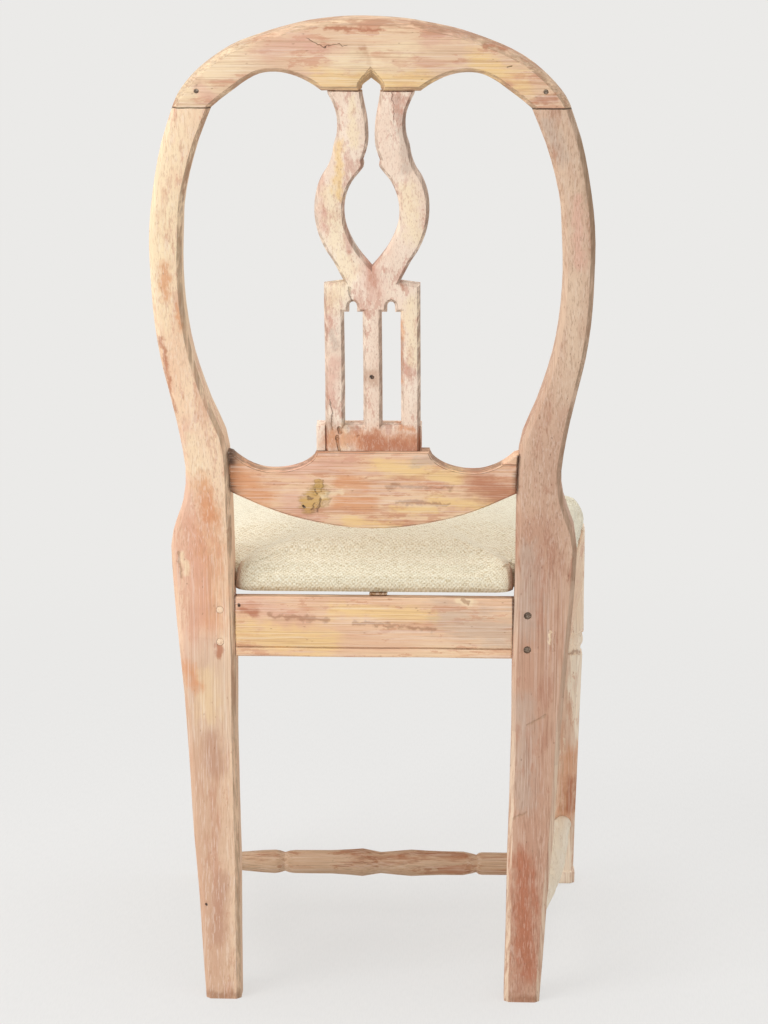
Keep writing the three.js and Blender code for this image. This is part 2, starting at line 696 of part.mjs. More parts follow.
function crestNotch() {
  const frontHalf = splatHalfWidth * strandInnerShares[0][0];
  const rearHalf = frontHalf * notchFlareShare;
  const frontRise = notchRearRise * notchFrontRiseShare;
  return loft([
    notchRing(rearHalf, notchRearRise, -overrun),
    notchRing(rearHalf, notchRearRise, 0),
    notchRing(frontHalf, frontRise, crestThickness * notchFlareDepthShare),
    notchRing(frontHalf, frontRise, crestThickness + overrun),
  ]);
}

function strandTenon(grow) {
  const inner = splatHalfWidth * strandInnerShares[0][0];
  const outer = splatHalfWidth * strandOuterShares[0][0];
  const middle = (inner + outer) * half;
  const reach = splatHalfWidth * splatTenonShares.strand * half;
  const centre = -(splatInset + splatThickness * half);
  const depth = [centre - tenonThickness * half, centre + tenonThickness * half];
  return box(widened([middle - reach, middle + reach], grow), widened(depth, grow),
    [strandSeat - overrun, strandSeat + splatTenonLength + grow]);
}

function crestRail() {
  const blank = board(crestShape(), crestThickness, 0, chamfer);
  const wide = outerAt(jointRise) + overrun;
  const below = box([-wide, wide], [-crestThickness - overrun, overrun],
    [jointRise - 2 * overrun, jointRise]);
  const leftTools = [crestTenon(clearance), strandTenon(clearance),
    crestPeg(-overrun, crestPegRadius + pegClearance)];
  const tools = leftTools.flatMap((tool) => [tool, mirroredTool(tool)]);
  return cut(blank, [below, crestNotch(), ...tools]);
}

// A mirrored copy of a cutting solid that may have no index yet
function mirroredTool(tool) {
  return mirrored(tool.index ? tool : mergeVertices(tool));
}

// Splat, in the back's frame
function splatPoint(x, z) {
  return new THREE.Vector2(x * splatHalfWidth, lowerRailTop + clearance + z * splatUsable());
}

function splatUsable() {
  return splatLength - 2 * clearance;
}

function splatSide() {
  const outer = spline(strandOuterShares.map(([x, z]) => splatPoint(x, z)), outlineSteps.strand);
  const inner = spline(strandInnerShares.map(([x, z]) => splatPoint(x, z)), outlineSteps.neck);
  const hollow = spline(hollowShares.map(([x, z]) => splatPoint(x, z)), outlineSteps.hollow);
  const beyond = (point, by) => new THREE.Vector2(point.x, point.y + by);
  const shoulder = [
    splatPoint(strandOuterShares[strandOuterShares.length - 1][0], barShoulderShares.inner),
    splatPoint(barOuterShare, barShoulderShares.outer),
    beyond(splatPoint(barOuterShare, 0), -overrun),
  ];
  const inwards = [...inner.slice(1), ...hollow.slice(1)].reverse();
  const top = [beyond(inner[0], overrun), beyond(outer[0], overrun)];
  return [...inwards, ...top, ...outer.slice(1, -1), ...shoulder];
}

function slotShape() {
  const path = new THREE.Shape();
  const place = (x, z) => splatPoint(x, z);
  const left = keyholeShares.centre - keyholeShares.halfWidth;
  const right = keyholeShares.centre + keyholeShares.halfWidth;
  const rows = [
    place(slotShares.inner, slotShares.bottom), place(slotShares.outer, slotShares.bottom),
    place(slotShares.outer, slotShares.top), place(right, slotShares.top),
    place(right, keyholeShares.shoulder),
  ];
  const crown = place(keyholeShares.centre, keyholeShares.top);
  path.setFromPoints(rows);
  const shoulder = place(left, keyholeShares.shoulder);
  path.quadraticCurveTo(rows[4].x, crown.y, crown.x, crown.y);
  path.quadraticCurveTo(shoulder.x, crown.y, shoulder.x, shoulder.y);
  path.lineTo(shoulder.x, rows[2].y);
  path.lineTo(rows[0].x, rows[2].y);
  return path;
}

function backSplat() {
  const side = splatSide();
  const shape = new THREE.Shape([...side, ...flipped(side).slice(0, -1)]);
  const sawn = board(shape, splatThickness, splatInset, splatChamfer);
  const length = box([-splatHalfWidth - overrun, splatHalfWidth + overrun],
    [-splatThickness - splatInset - overrun, overrun],
    [lowerRailTop + clearance, strandSeat - clearance]);
  const slot = holeCutter(slotShape(), splatThickness, splatInset, splatChamfer);
  const blank = cut(common(sawn, length), [slot, mirroredTool(slot)]);
  const centre = -(splatInset + splatThickness * half);
  const depth = [centre - tenonThickness * half, centre + tenonThickness * half];
  const reach = splatHalfWidth * splatTenonShares.width;
  const foot = box([-reach, reach], depth,
    [lowerRailTop - splatTenonLength, lowerRailTop + overrun]);
  const strand = strandTenon(0);
  return join(blank, [foot, strand, mirroredTool(strand)]);
}

// Shoe and lower back rail, in the back's frame
function splatShoe() {
  const low = lowerRailTop + clearance;
  const high = splatPoint(0, slotShares.bottom).y;
  const body = box(widened([shoeOffset, shoeOffset], shoeHalfWidth),
    [-(splatInset + shoeThickness), -splatInset], [low, high]);
  const reach = splatHalfWidth * barOuterShare + clearance;
  const seat = box([-reach, reach], [-(splatInset + splatThickness + clearance), overrun],
    [low - overrun, high + overrun]);
  return cut(body, [seat]);
}

// Points up the inner side of a post, a clearance away from it
function alongPost(low, high) {
  return Array.from({ length: endStepCount + 1 }, (_, i) => {
    const place = low + ((high - low) * i) / endStepCount;
    return new THREE.Vector2(innerAt(place) - clearance, place);
  });
}

function lowerRailShape() {
  const reach = innerAt(lowerRailTop) - clearance;
  const at = ([x, z]) => new THREE.Vector2(x * reach, lowerRailBottom + z * lowerRailFall);
  const endHeight = lowerRailBottom + lowerRailFall * lowerRailEndShare;
  const lowEnd = lowerRailBottom + lowerRailFall * lowerRailBottomShares[0][1];
  const end = alongPost(lowEnd, endHeight);
  const side = [...end, ...spline(lowerRailTopShares.map(at), outlineSteps.scoop)];
  const bottomRows = lowerRailBottomShares.slice(1, -1).map(at);
  const corner = new THREE.Vector2(-end[0].x, lowEnd);
  const bottom = spline([corner, ...bottomRows, end[0]], outlineSteps.bow);
  return new THREE.Shape([...bottom.slice(1, -1), ...side, ...flipped(side)]);
}

function lowerRailBlank() {
  return board(lowerRailShape(), lowerRailThickness, lowerRailInset, edgeBreak);
}

// The corner that a glued repair stands in for, on the sitter's right
function patchRegion(grow) {
  const reach = innerAt(lowerRailTop);
  const seam = lowerRailBottom + lowerRailFall * patchSeamShare;
  return box([-reach - overrun, -reach * patchStartShare + grow],
    [-lowerRailThickness - lowerRailInset - overrun, overrun],
    [seam - grow, lowerRailTop + lowerRailFall]);
}

function lowerBackRail() {
  const centre = -(splatInset + splatThickness * half);
  const depth = [centre - tenonThickness * half, centre + tenonThickness * half];
  const reach = splatHalfWidth * splatTenonShares.width;
  const mortise = box(widened([-reach, reach], clearance), widened(depth, clearance),
    [lowerRailTop - splatTenonLength - clearance, lowerRailTop + overrun]);
  const tenon = lowerRailTenon(0);
  const whole = join(lowerRailBlank(), [tenon, mirroredTool(tenon)]);
  return cut(whole, [mortise, patchRegion(clearance)]);
}

function lowerRailPatch() {
  return common(lowerRailBlank(), patchRegion(0));
}

// Seat rails
function rearSeatRail() {
  const top = seatHeight - rearRailDrop;
  const bottom = top - railHeight;
  const topReach = innerAt(top - bendHeight) - clearance;
  const bottomReach = innerAt(bottom - bendHeight) - clearance;
  const shape = new THREE.Shape([
    new THREE.Vector2(-bottomReach, bottom), new THREE.Vector2(bottomReach, bottom),
    new THREE.Vector2(topReach, top), new THREE.Vector2(-topReach, top),
  ]);
  const blank = board(shape, rearRailThickness, rearRailInset, edgeBreak);
  const groove = box([-topReach - overrun, topReach + overrun],
    [-rearRailInset - beadGroove, overrun],
    widened([bottom + railHeight * beadHeightShare, bottom + railHeight * beadHeightShare],
      beadGroove * half));
  const tenon = rearRailTenon(0);
  const whole = join(cut(blank, [groove]), [tenon, mirroredTool(tenon)]);
  const leftHoles = rearPegs(leftPegShares, -overrun, pegRadius + pegClearance);
  const rightHoles = rearPegs(rightPegShares, -overrun, pegRadius + pegClearance);
  return cut(whole, [...leftHoles, ...rightHoles.map(mirroredTool)]);
}

function frontSeatRail() {
  const reach = blockInnerX - clearance;
  const front = -(seatDepth - frontRailInset);
  const body = box([-reach, reach], [front, front + railThickness], [railBottom, seatHeight]);
  const tenon = frontRailTenon(0);
  const whole = join(body, [tenon, mirroredTool(tenon)]);
  const holes = frontPegs(-overrun, pegRadius + pegClearance);
  return cut(whole, holes.flatMap((hole) => [hole, mirroredTool(hole)]));
}

function sideSeatRail() {
  const body = plate(sideRailStrip(0, 1, 0, 0), railBottom, seatHeight);
  return cut(join(body, [sideRailTenons(0)]), [
    ...sidePegs(true, -overrun, pegRadius + pegClearance),
    ...sidePegs(false, -overrun, pegRadius + pegClearance),
  ]);
}

// Front legs: a bevelled square that swells and narrows with height
function legRing(z, halfSize, bevel) {
  const a = halfSize;
  const b = halfSize - bevel;
  const corners = [[a, -b], [a, b], [b, a], [-b, a], [-a, b], [-a, -b], [-b, -a], [b, -a]];
  return corners.map(([x, y]) => new THREE.Vector3(frontAxisX + x, frontAxisY + y, z));
}

function frontLeg() {
  const full = legBlock * half;
  const shaftBevel = (size) => size * shaftChamferShare;
  const rings = footShares.map(([z, s]) => legRing(z * footHeight, s * full, shaftBevel(s * full)));
  const ankle = footHeight * (1 + ankleRiseShare);
  rings.push(legRing(ankle, ankleShare * full, shaftBevel(ankleShare * full)));
  ringShares.forEach(([z, s]) => {
    rings.push(legRing(shaftTop + z * ringHeight, s * full, shaftBevel(s * full)));
  });
  const shoulder = seatHeight - blockHeight + full * (shaftChamferShare - blockChamferShare);
  rings.push(legRing(shoulder, full, full * blockChamferShare));
  rings.push(legRing(seatHeight, full, full * blockChamferShare));
  return cut(loft(rings), [
    frontRailTenon(clearance),
    sideRailTenons(clearance),
    stretcherSocket(),
    ...frontPegs(-overrun, pegRadius + pegClearance),
    ...sidePegs(true, -overrun, pegRadius + pegClearance),
  ]);
}

// Plan of the cushion, anticlockwise from above, as evenly spaced points
function cushionPlan() {
  const { rear, front } = sideRailPlan();
  const slope = (front.x - rear.x) / (front.y - rear.y);
  const frontY = -(seatDepth - frontRailInset + cushionSideInset);
  const notchY = -(postDepth + cushionPostGap);
  const grow = sideRailInset - cushionSideInset;
  const frontX = rear.x + slope * (frontY - rear.y) + grow;
  const rearX = rear.x + slope * (notchY - rear.y) + grow;
  const tongueX = innerAt(railBottom - bendHeight) - cushionPostGap;
  const big = cushionCornerRadius;
  const small = cushionNotchRadius;
  const rounding = [
    [tongueX, -cushionRearGap, small], [-tongueX, -cushionRearGap, small],
    [-tongueX, notchY, small], [-rearX, notchY, small],
    [-frontX, frontY, big], [frontX, frontY, big],
    [rearX, notchY, small], [tongueX, notchY, small],
  ];
  const shape = new THREE.Shape();
  rounding.forEach(([x, y, radius], i) => {
    const [px, py] = rounding[(i + rounding.length - 1) % rounding.length];
    const [nx, ny] = rounding[(i + 1) % rounding.length];
    const corner = new THREE.Vector2(x, y);
    const before = corner.clone().add(new THREE.Vector2(px - x, py - y).setLength(radius));
    const after = corner.clone().add(new THREE.Vector2(nx - x, ny - y).setLength(radius));
    shape[i ? 'lineTo' : 'moveTo'](before.x, before.y);
    shape.quadraticCurveTo(x, y, after.x, after.y);
  });
  shape.closePath();
  return shape.getSpacedPoints(cushionPoints).slice(0, -1);
}

// The plan drawn in by a distance
function drawnIn(plan, distance) {
  return plan.map((point, i) => {
    const before = plan[(i + plan.length - 1) % plan.length];
    const after = plan[(i + 1) % plan.length];
    const along = after.clone().sub(before).normalize();
    return new THREE.Vector2(point.x - along.y * distance, point.y + along.x * distance);
  });
}

const frameLow = seatHeight + clearance;
const frameHigh = frameLow + battenThickness;
const webLevel = frameHigh + clearance + webThickness + clearance * half;
const recessTop = webLevel + webThickness + clearance * (1 + half);

function seatCushion() {
  const plan = cushionPlan();
  const ring = (points, z) => points.map((point) => new THREE.Vector3(point.x, point.y, z));
  const lip = drawnIn(plan, cushionBulge + cushionLip);
  const rings = [ring(lip, recessTop), ring(lip, frameLow)];
  cushionSideShares.forEach(([inset, rise]) => {
    rings.push(ring(drawnIn(plan, inset * cushionBulge), frameLow + rise * cushionEdge));
  });
  const edge = drawnIn(plan, cushionSideShares[cushionSideShares.length - 1][0] * cushionBulge);
  const middle = new THREE.Vector2(0, -(cushionRearGap + seatDepth) * half);
  const halfWidth = Math.max(...plan.map((point) => point.x));
  const halfDepth = (seatDepth - cushionRearGap) * half;
  crownRingShares.forEach((share) => {
    rings.push(edge.map((point) => {
      const place = middle.clone().lerp(point, share);
      const u = (place.x / halfWidth) ** 2;
      const v = ((place.y - middle.y) / halfDepth) ** 2;
      const swell = ((1 - u) * (1 - v)) ** crownRoundShare;
      const rise = cushionEdge + cushionCrown * Math.min(1, Math.max(swell, 0));
      return new THREE.Vector3(place.x, place.y, frameLow + rise);
    }));
  });
  return loft(rings);
}

// Slip seat frame: four battens half lapped at the corners, cut from one plan
function framePrism() {
  const plan = drawnIn(cushionPlan(), cushionBulge + cushionLip + clearance);
  return plate(new THREE.Shape(plan), frameLow, frameHigh);
}

function sideBand(grow) {
  const shape = sideRailStrip(-1, battenWidth / railThickness, frameBandReach, grow);
  return plate(shape, frameLow - overrun, frameHigh + overrun);
}

function crossBand(rear, grow) {
  const wide = halfFront + overrun;
  const frontEdge = -(seatDepth - frontRailInset);
  const rearEdge = -(postDepth + cushionPostGap);
  const span = rear
    ? [rearEdge - battenWidth, 0]
    : [frontEdge - overrun, frontEdge + battenWidth];
  return box([-wide, wide], widened(span, grow), [frameLow - overrun, frameHigh + overrun]);
}

function halfThickness(upper, grow) {
  const wide = halfFront + overrun;
  const middle = (frameLow + frameHigh) * half;
  const span = upper ? [middle - grow, frameHigh + overrun] : [frameLow - overrun, middle + grow];
  return box([-wide, wide], [-seatDepth - overrun, overrun], span);
}

function crossBatten(rear) {
  const blank = common(framePrism(), crossBand(rear, 0));
  const lap = common(sideBand(clearance), halfThickness(true, 0));
  return cut(blank, [lap, mirrored(lap)]);
}

function sideBatten(left) {
  const band = sideBand(0);
  const blank = common(framePrism(), left ? band : mirroredTool(band));
  const laps = [true, false].map((rear) => {
    return common(crossBand(rear, clearance), halfThickness(false, clearance));
  });
  return cut(blank, laps);
}

// One strap of webbing, woven over and under the straps that cross it: a wave in
// the plane of its length and Z, as wide as the strap
function webStrap(from, to, crossings, startsOver) {
  const step = (webThickness + clearance) * half;
  const flat = webWidth * half + webSlack;
  const rows = [[from, -step]];
  crossings.forEach((place, i) => {
    const over = (i % 2 === 0) === startsOver ? step : -step;
    rows.push([place - flat, over], [place + flat, over]);
  });
  rows.push([to, -step]);
  const top = rows.map(([x, z]) => new THREE.Vector2(x, webLevel + z + webThickness * half));
  const bottom = rows.map(([x, z]) => new THREE.Vector2(x, webLevel + z - webThickness * half));
  return board(new THREE.Shape([...bottom, ...top.reverse()]), webWidth, -webWidth * half, 0);
}

function webPlaces(low, high) {
  const middle = (low + high) * half;
  const reach = (high - low) * half * webSpreadShare;
  return Array.from({ length: webCount }, (_, i) => middle + reach * ((2 * i) / (webCount - 1) - 1));
}

function seatOpening() {
  const { rear } = sideRailPlan();
  const rearEdge = -(postDepth + cushionPostGap + battenWidth);
  const frontEdge = -(seatDepth - frontRailInset - battenWidth);
  const side = rear.x - battenWidth;
  return { x: [-side, side], y: [frontEdge, rearEdge] };
}

function webbing() {
  const opening = seatOpening();
  const lap = battenWidth * webLapShare;
  const xs = webPlaces(...opening.x);
  const ys = webPlaces(...opening.y);
  const across = ys.map((y, i) => {
    const strap = webStrap(opening.x[0] - lap, opening.x[1] + lap, xs, i % 2 === 0);
    return strap.translate(0, y, 0);
  });
  const along = xs.map((x, i) => {
    const strap = webStrap(opening.y[0] - lap, opening.y[1] + lap, ys, i % 2 !== 0);
    return strap.rotateZ(Math.PI * half).translate(x, 0, 0);
  });
  return { across, along };
}

// The thin block that packs the seat up on the low rear rail
function packingBlock() {
  const low = seatHeight - rearRailDrop + clearance;
  const rear = -(rearRailInset + rearRailThickness * half);
  return box([-packingOffset - packingWidth * half, -packingOffset + packingWidth * half],
    [rear - packingDepth, rear], [low, seatHeight]);
}

function piece(name, geometry, finish) {
  const mesh = new THREE.Mesh(geometry, new THREE.MeshStandardMaterial(finish));
  mesh.name = name;
  return mesh;
}

// The leaning pieces stand in a group that leans about the bend
function buildBack() {
  const back = new THREE.Group();
  back.position.z = bendHeight;
  back.rotation.x = -rake;
  back.add(
    piece('crest_rail', crestRail(), finishes.crest),
    piece('back_splat', backSplat(), finishes.splat),
    piece('splat_shoe', splatShoe(), finishes.lowerRail),
    piece('lower_back_rail', lowerBackRail(), finishes.lowerRail),
    piece('lower_rail_patch', lowerRailPatch(), finishes.lowerRail),
    piece('left_crest_peg', crestPeg(flushRecess, crestPegRadius), finishes.darkPeg),
    piece('right_crest_peg', mirroredTool(crestPeg(flushRecess, crestPegRadius)), finishes.darkPeg),
  );
  return back;
}

function buildBase() {
  const base = new THREE.Group();
  base.add(
    piece('left_back_post', backPost(leftPegShares), finishes.post),
    piece('right_back_post', mirrored(backPost(rightPegShares)), finishes.post),
    piece('rear_seat_rail', rearSeatRail(), finishes.rail),
    piece('front_seat_rail', frontSeatRail(), finishes.rail),
    piece('left_seat_rail', sideSeatRail(), finishes.rail),
    piece('right_seat_rail', mirrored(sideSeatRail()), finishes.rail),
    piece('left_front_leg', frontLeg(), finishes.leg),
    piece('right_front_leg', mirrored(frontLeg()), finishes.leg),
    piece('left_side_stretcher', sideStretcher(), finishes.paleStretcher),
    piece('right_side_stretcher', mirrored(sideStretcher()), finishes.paleStretcher),
    piece('cross_stretcher', crossStretcher(), finishes.stretcher),
    piece('rear_packing_block', packingBlock(), finishes.darkPeg),
  );
  return base;
}

function buildPegs() {
  const pegs = new THREE.Group();
  const groups = {
    front_rail: [frontPegs(flushRecess, pegRadius), frontPegs(flushRecess, pegRadius)],
    side_rail_front: [sidePegs(true, flushRecess, pegRadius), sidePegs(true, flushRecess, pegRadius)],
    side_rail_rear: [sidePegs(false, flushRecess, pegRadius), sidePegs(false, flushRecess, pegRadius)],
    rear_rail: [rearPegs(leftPegShares, flushRecess, pegRadius),
      rearPegs(rightPegShares, sunkRecess, pegRadius)],
  };
  Object.entries(groups).forEach(([joint, [left, right]]) => {
    left.forEach((peg, i) => {
      pegs.add(piece(`left_${joint}_peg_${i + 1}`, peg, finishes.peg));
    });
    right.forEach((peg, i) => {
      const finish = joint === 'rear_rail' ? finishes.darkPeg : finishes.peg;
      pegs.add(piece(`right_${joint}_peg_${i + 1}`, mirroredTool(peg), finish));
    });
  });
  return pegs;
}

function buildSlipSeat() {
  const seat = new THREE.Group();
  const straps = webbing();
  seat.add(
    piece('seat_cushion', seatCushion(), finishes.linen),
    piece('seat_front_batten', crossBatten(false), finishes.batten),
    piece('seat_rear_batten', crossBatten(true), finishes.batten),
    piece('seat_left_batten', sideBatten(true), finishes.batten),
    piece('seat_right_batten', sideBatten(false), finishes.batten),
  );
  straps.across.forEach((strap, i) => {
    seat.add(piece(`cross_webbing_${i + 1}`, strap, finishes.webbing));
  });
  straps.along.forEach((strap, i) => {
    seat.add(piece(`long_webbing_${i + 1}`, strap, finishes.webbing));
  });
  return seat;
}

// Centres the chair over its footprint, with the feet on the floor
function centred(inner) {
  inner.updateMatrixWorld(true);
  const bounds = new THREE.Box3().setFromObject(inner, true);
  inner.position.y -= (bounds.min.y + bounds.max.y) * half;
  inner.position.z -= bounds.min.z;
  const chair = new THREE.Group();
  chair.add(inner);
  return chair;
}

const pieces = new THREE.Group();
pieces.add(buildBase(), buildBack(), buildPegs(), buildSlipSeat());

export default centred(pieces);
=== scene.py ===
"""The looks of a balloon back dining chair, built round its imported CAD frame.

Lengths are in metres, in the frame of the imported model: the sitter faces -Y, +X is the
sitter's left and +Z is up. The chair is seen from behind.
"""

import logging
import math
from dataclasses import dataclass, field
from enum import Enum

import bmesh
import bpy
from mathutils import Matrix, Vector, noise


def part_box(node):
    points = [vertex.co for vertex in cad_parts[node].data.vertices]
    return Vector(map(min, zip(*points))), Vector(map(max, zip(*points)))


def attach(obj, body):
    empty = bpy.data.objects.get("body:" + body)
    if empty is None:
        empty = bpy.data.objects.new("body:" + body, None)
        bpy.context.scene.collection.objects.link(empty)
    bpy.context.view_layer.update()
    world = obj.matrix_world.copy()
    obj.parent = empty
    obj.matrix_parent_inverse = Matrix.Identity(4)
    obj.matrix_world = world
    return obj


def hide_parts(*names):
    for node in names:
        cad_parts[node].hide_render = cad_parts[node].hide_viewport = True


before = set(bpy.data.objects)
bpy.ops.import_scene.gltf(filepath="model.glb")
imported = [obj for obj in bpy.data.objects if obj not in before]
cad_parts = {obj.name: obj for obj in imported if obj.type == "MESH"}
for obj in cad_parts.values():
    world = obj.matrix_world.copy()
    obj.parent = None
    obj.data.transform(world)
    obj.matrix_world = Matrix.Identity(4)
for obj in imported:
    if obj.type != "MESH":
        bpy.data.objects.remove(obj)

Colour = tuple[float, float, float]
Point = tuple[float, float, float]
Band = tuple[float, float]

MM = 0.001
RAKE = math.radians(10)
# Points closer than this become one.
WELD = 0.02 * MM
# A height below every piece.
UNDER_ALL = -1.0
# Where the most rubbed faces look, and where the key lamp lies: up and to the sitter's left.
# Faces turned this way get painted highlight on their edges, and faces turned away get painted
# shade.
RUBBED_AND_LIT_WAY = Vector((0.5, 0.0, 0.8))
# Without a seed, the noise module starts from the clock.
NOISE_SEED = 1
log = logging.getLogger("balloon_chair")


def clamp(value: float, low: float = 0.0, high: float = 1.0) -> float:
    """Returns the value, kept between two limits."""
    return min(high, max(low, value))


def ramp(value: float, low: float, high: float) -> float:
    """Returns how far a value has come from low to high, from 0 to 1."""
    return clamp((value - low) / (high - low))


def shade(red: int, green: int, blue: int) -> Colour:
    """Returns the linear colour of a tone as it looks on a screen, each part from 0 to 255."""
    return tuple(
        part / 12.92 if part <= 0.04045 else ((part + 0.055) / 1.055) ** 2.4
        for part in (red / 255, green / 255, blue / 255)
    )


class Value:
    """A number that a node puts out, on which Python's operators add Math nodes."""

    def __init__(self, graph: "Graph", socket: bpy.types.NodeSocket) -> None:
        """Keeps the graph and the socket."""
        self.graph = graph
        self.socket = socket

    def math(self, operation: str, *others: "Value | float") -> "Value":
        """Adds a Math node.

        Args:
            operation: the node's operation.
            others: the operands after this one.

        Returns:
            The result.
        """
        inputs = dict(enumerate((self, *others)))
        made = self.graph.node("ShaderNodeMath", {"operation": operation}, inputs)
        return Value(self.graph, made.outputs[0])

    def __add__(self, other: "Value | float") -> "Value":
        """Returns the sum."""
        return self.math("ADD", other)

    __radd__ = __add__

    def __mul__(self, other: "Value | float") -> "Value":
        """Returns the product."""
        return self.math("MULTIPLY", other)

    def __sub__(self, other: "Value | float") -> "Value":
        """Returns the difference."""
        return self.math("SUBTRACT", other)

    def __rsub__(self, other: float) -> "Value":
        """Returns the difference from a plain number."""
        settings = {"operation": "SUBTRACT"}
        made = self.graph.node("ShaderNodeMath", settings, {0: other, 1: self})
        return Value(self.graph, made.outputs[0])

    def either(self, other: "Value | float") -> "Value":
        """Returns the larger of two values."""
        return self.math("MAXIMUM", other)

    def within(self, low: float, high: float) -> "Value":
        """Returns a smooth step that is 0 up to low and 1 from high on."""
        settings = {"interpolation_type": "SMOOTHSTEP"}
        made = self.graph.node("ShaderNodeMapRange", settings, {0: self, 1: low, 2: high})
        return Value(self.graph, made.outputs[0])


@dataclass(frozen=True)
class Cloud:
    """A noise: how it is stretched and shifted, how fine and how rough it is, and its warp."""

    stretch: Point
    shift: Point = (0, 0, 0)
    detail: float = 3.0
    rough: float = 0.55
    warp: float = 0.0


class Graph:
    """One material's node tree, with short ways to add its nodes."""

    def __init__(self, name: str, gloss: float = 0.35) -> None:
        """Makes the material with its shader and its output.

        Args:
            name: the material's name.
            gloss: how strongly its surface reflects.
        """
        self.gloss = gloss
        self.material = bpy.data.materials.new(name)
        self.material.use_nodes = True
        self.tree = self.material.node_tree
        self.tree.nodes.clear()
        self.shader = self.node("ShaderNodeBsdfPrincipled")
        self.output = self.node("ShaderNodeOutputMaterial", {}, {0: self.shader.outputs[0]})

    def node(
        self, kind: str, settings: dict | None = None, inputs: dict | None = None
    ) -> bpy.types.Node:
        """Adds a node.

        Args:
            kind: the node's type.
            settings: its properties, set before its sockets.
            inputs: values, links or Value objects by socket index or name.

        Returns:
            The node.
        """
        made = self.tree.nodes.new(kind)
        for key, value in (settings or {}).items():
            setattr(made, key, value)
        for key, value in (inputs or {}).items():
            socket = made.inputs[key]
            source = value.socket if isinstance(value, Value) else value
            if isinstance(source, bpy.types.NodeSocket):
                self.tree.links.new(source, socket)
            else:
                socket.default_value = source
        return made

    def attribute(self, name: str) -> Value:
        """Returns a number that the mesh carries."""
        made = self.node("ShaderNodeAttribute", {"attribute_name": name})
        return Value(self, made.outputs["Fac"])

    def place(self) -> bpy.types.NodeSocket:
        """Returns the object's own coordinates, in metres."""
        return self.node("ShaderNodeTexCoord").outputs["Object"]

    def mapped(
        self,
        vector: bpy.types.NodeSocket,
        scale: Point = (1, 1, 1),
        turn: Point = (0, 0, 0),
        shift: Point = (0, 0, 0),
    ) -> bpy.types.NodeSocket:
        """Returns coordinates that are scaled, turned and shifted.

        Args:
            vector: the coordinates.
            scale: the scale along each axis.
            turn: the turn round each axis, in radians.
            shift: what is added to them.

        Returns:
            The new coordinates.
        """
        inputs = {"Vector": vector, "Location": shift, "Rotation": turn, "Scale": scale}
        return self.node("ShaderNodeMapping", {}, inputs).outputs[0]

    def cloud(self, vector: bpy.types.NodeSocket, cloud: Cloud) -> Value:
        """Adds a noise.

        Args:
            vector: the coordinates.
            cloud: what the noise is like.

        Returns:
            The noise, from 0 to 1.
        """
        vector = self.mapped(vector, cloud.stretch, shift=cloud.shift)
        inputs = {"Vector": vector, "Scale": 1.0, "Detail": cloud.detail}
        inputs |= {"Roughness": cloud.rough, "Distortion": cloud.warp}
        return Value(self, self.node("ShaderNodeTexNoise", {}, inputs).outputs[0])

    def cells(self, vector: bpy.types.NodeSocket, stretch: Point) -> Value:
        """Returns the distance to the nearest point of a random scatter."""
        inputs = {"Vector": self.mapped(vector, stretch), "Scale": 1.0}
        return Value(self, self.node("ShaderNodeTexVoronoi", {}, inputs).outputs["Distance"])

    def mix(
        self,
        share: Value | float,
        first: Colour | bpy.types.NodeSocket,
        second: Colour | bpy.types.NodeSocket,
    ) -> bpy.types.NodeSocket:
        """Returns a mix of two colours.

        Args:
            share: how much of the second colour shows.
            first: the colour at share 0.
            second: the colour at share 1.

        Returns:
            The mixed colour's socket.
        """
        colours = [c if isinstance(c, bpy.types.NodeSocket) else (*c, 1) for c in (first, second)]
        settings = {"data_type": "RGBA", "blend_type": "MIX", "clamp_factor": True}
        made = self.node("ShaderNodeMix", settings, {0: share, 6: colours[0], 7: colours[1]})
        return made.outputs[2]

    def parts(self, vector: bpy.types.NodeSocket) -> tuple[Value, Value, Value]:
        """Returns the three parts of a vector."""
        made = self.node("ShaderNodeSeparateXYZ", {}, {0: vector})
        return tuple(Value(self, made.outputs[i]) for i in range(3))

    def relief(self, height: Value) -> None:
        """Adds a bump to the shader's normal.

        Args:
            height: the bump's height, in metres.
        """
        inputs = {"Height": height, "Distance": 1.0, "Strength": 1.0}
        made = self.node("ShaderNodeBump", {}, inputs)
        self.tree.links.new(made.outputs[0], self.shader.inputs["Normal"])

    def finish(self, colour: bpy.types.NodeSocket, rough: Value | float) -> bpy.types.Material:
        """Gives the shader its colour and its roughness.

        Args:
            colour: the colour's socket.
            rough: the roughness.

        Returns:
            The material.
        """
        self.tree.links.new(colour, self.shader.inputs["Base Color"])
        if isinstance(rough, Value):
            self.tree.links.new(rough.socket, self.shader.inputs["Roughness"])
        else:
            self.shader.inputs["Roughness"].default_value = rough
        self.shader.inputs["Specular IOR Level"].default_value = self.gloss
        return self.material


class Grain(Enum):
    """The turn that lays a piece's own grain along X."""

    ACROSS = (0.0, 0.0, 0.0)
    DEPTH = (0.0, 0.0, -math.pi / 2)
    UPRIGHT = (0.0, math.pi / 2, 0.0)
    LEANING = (-RAKE, math.pi / 2, 0.0)


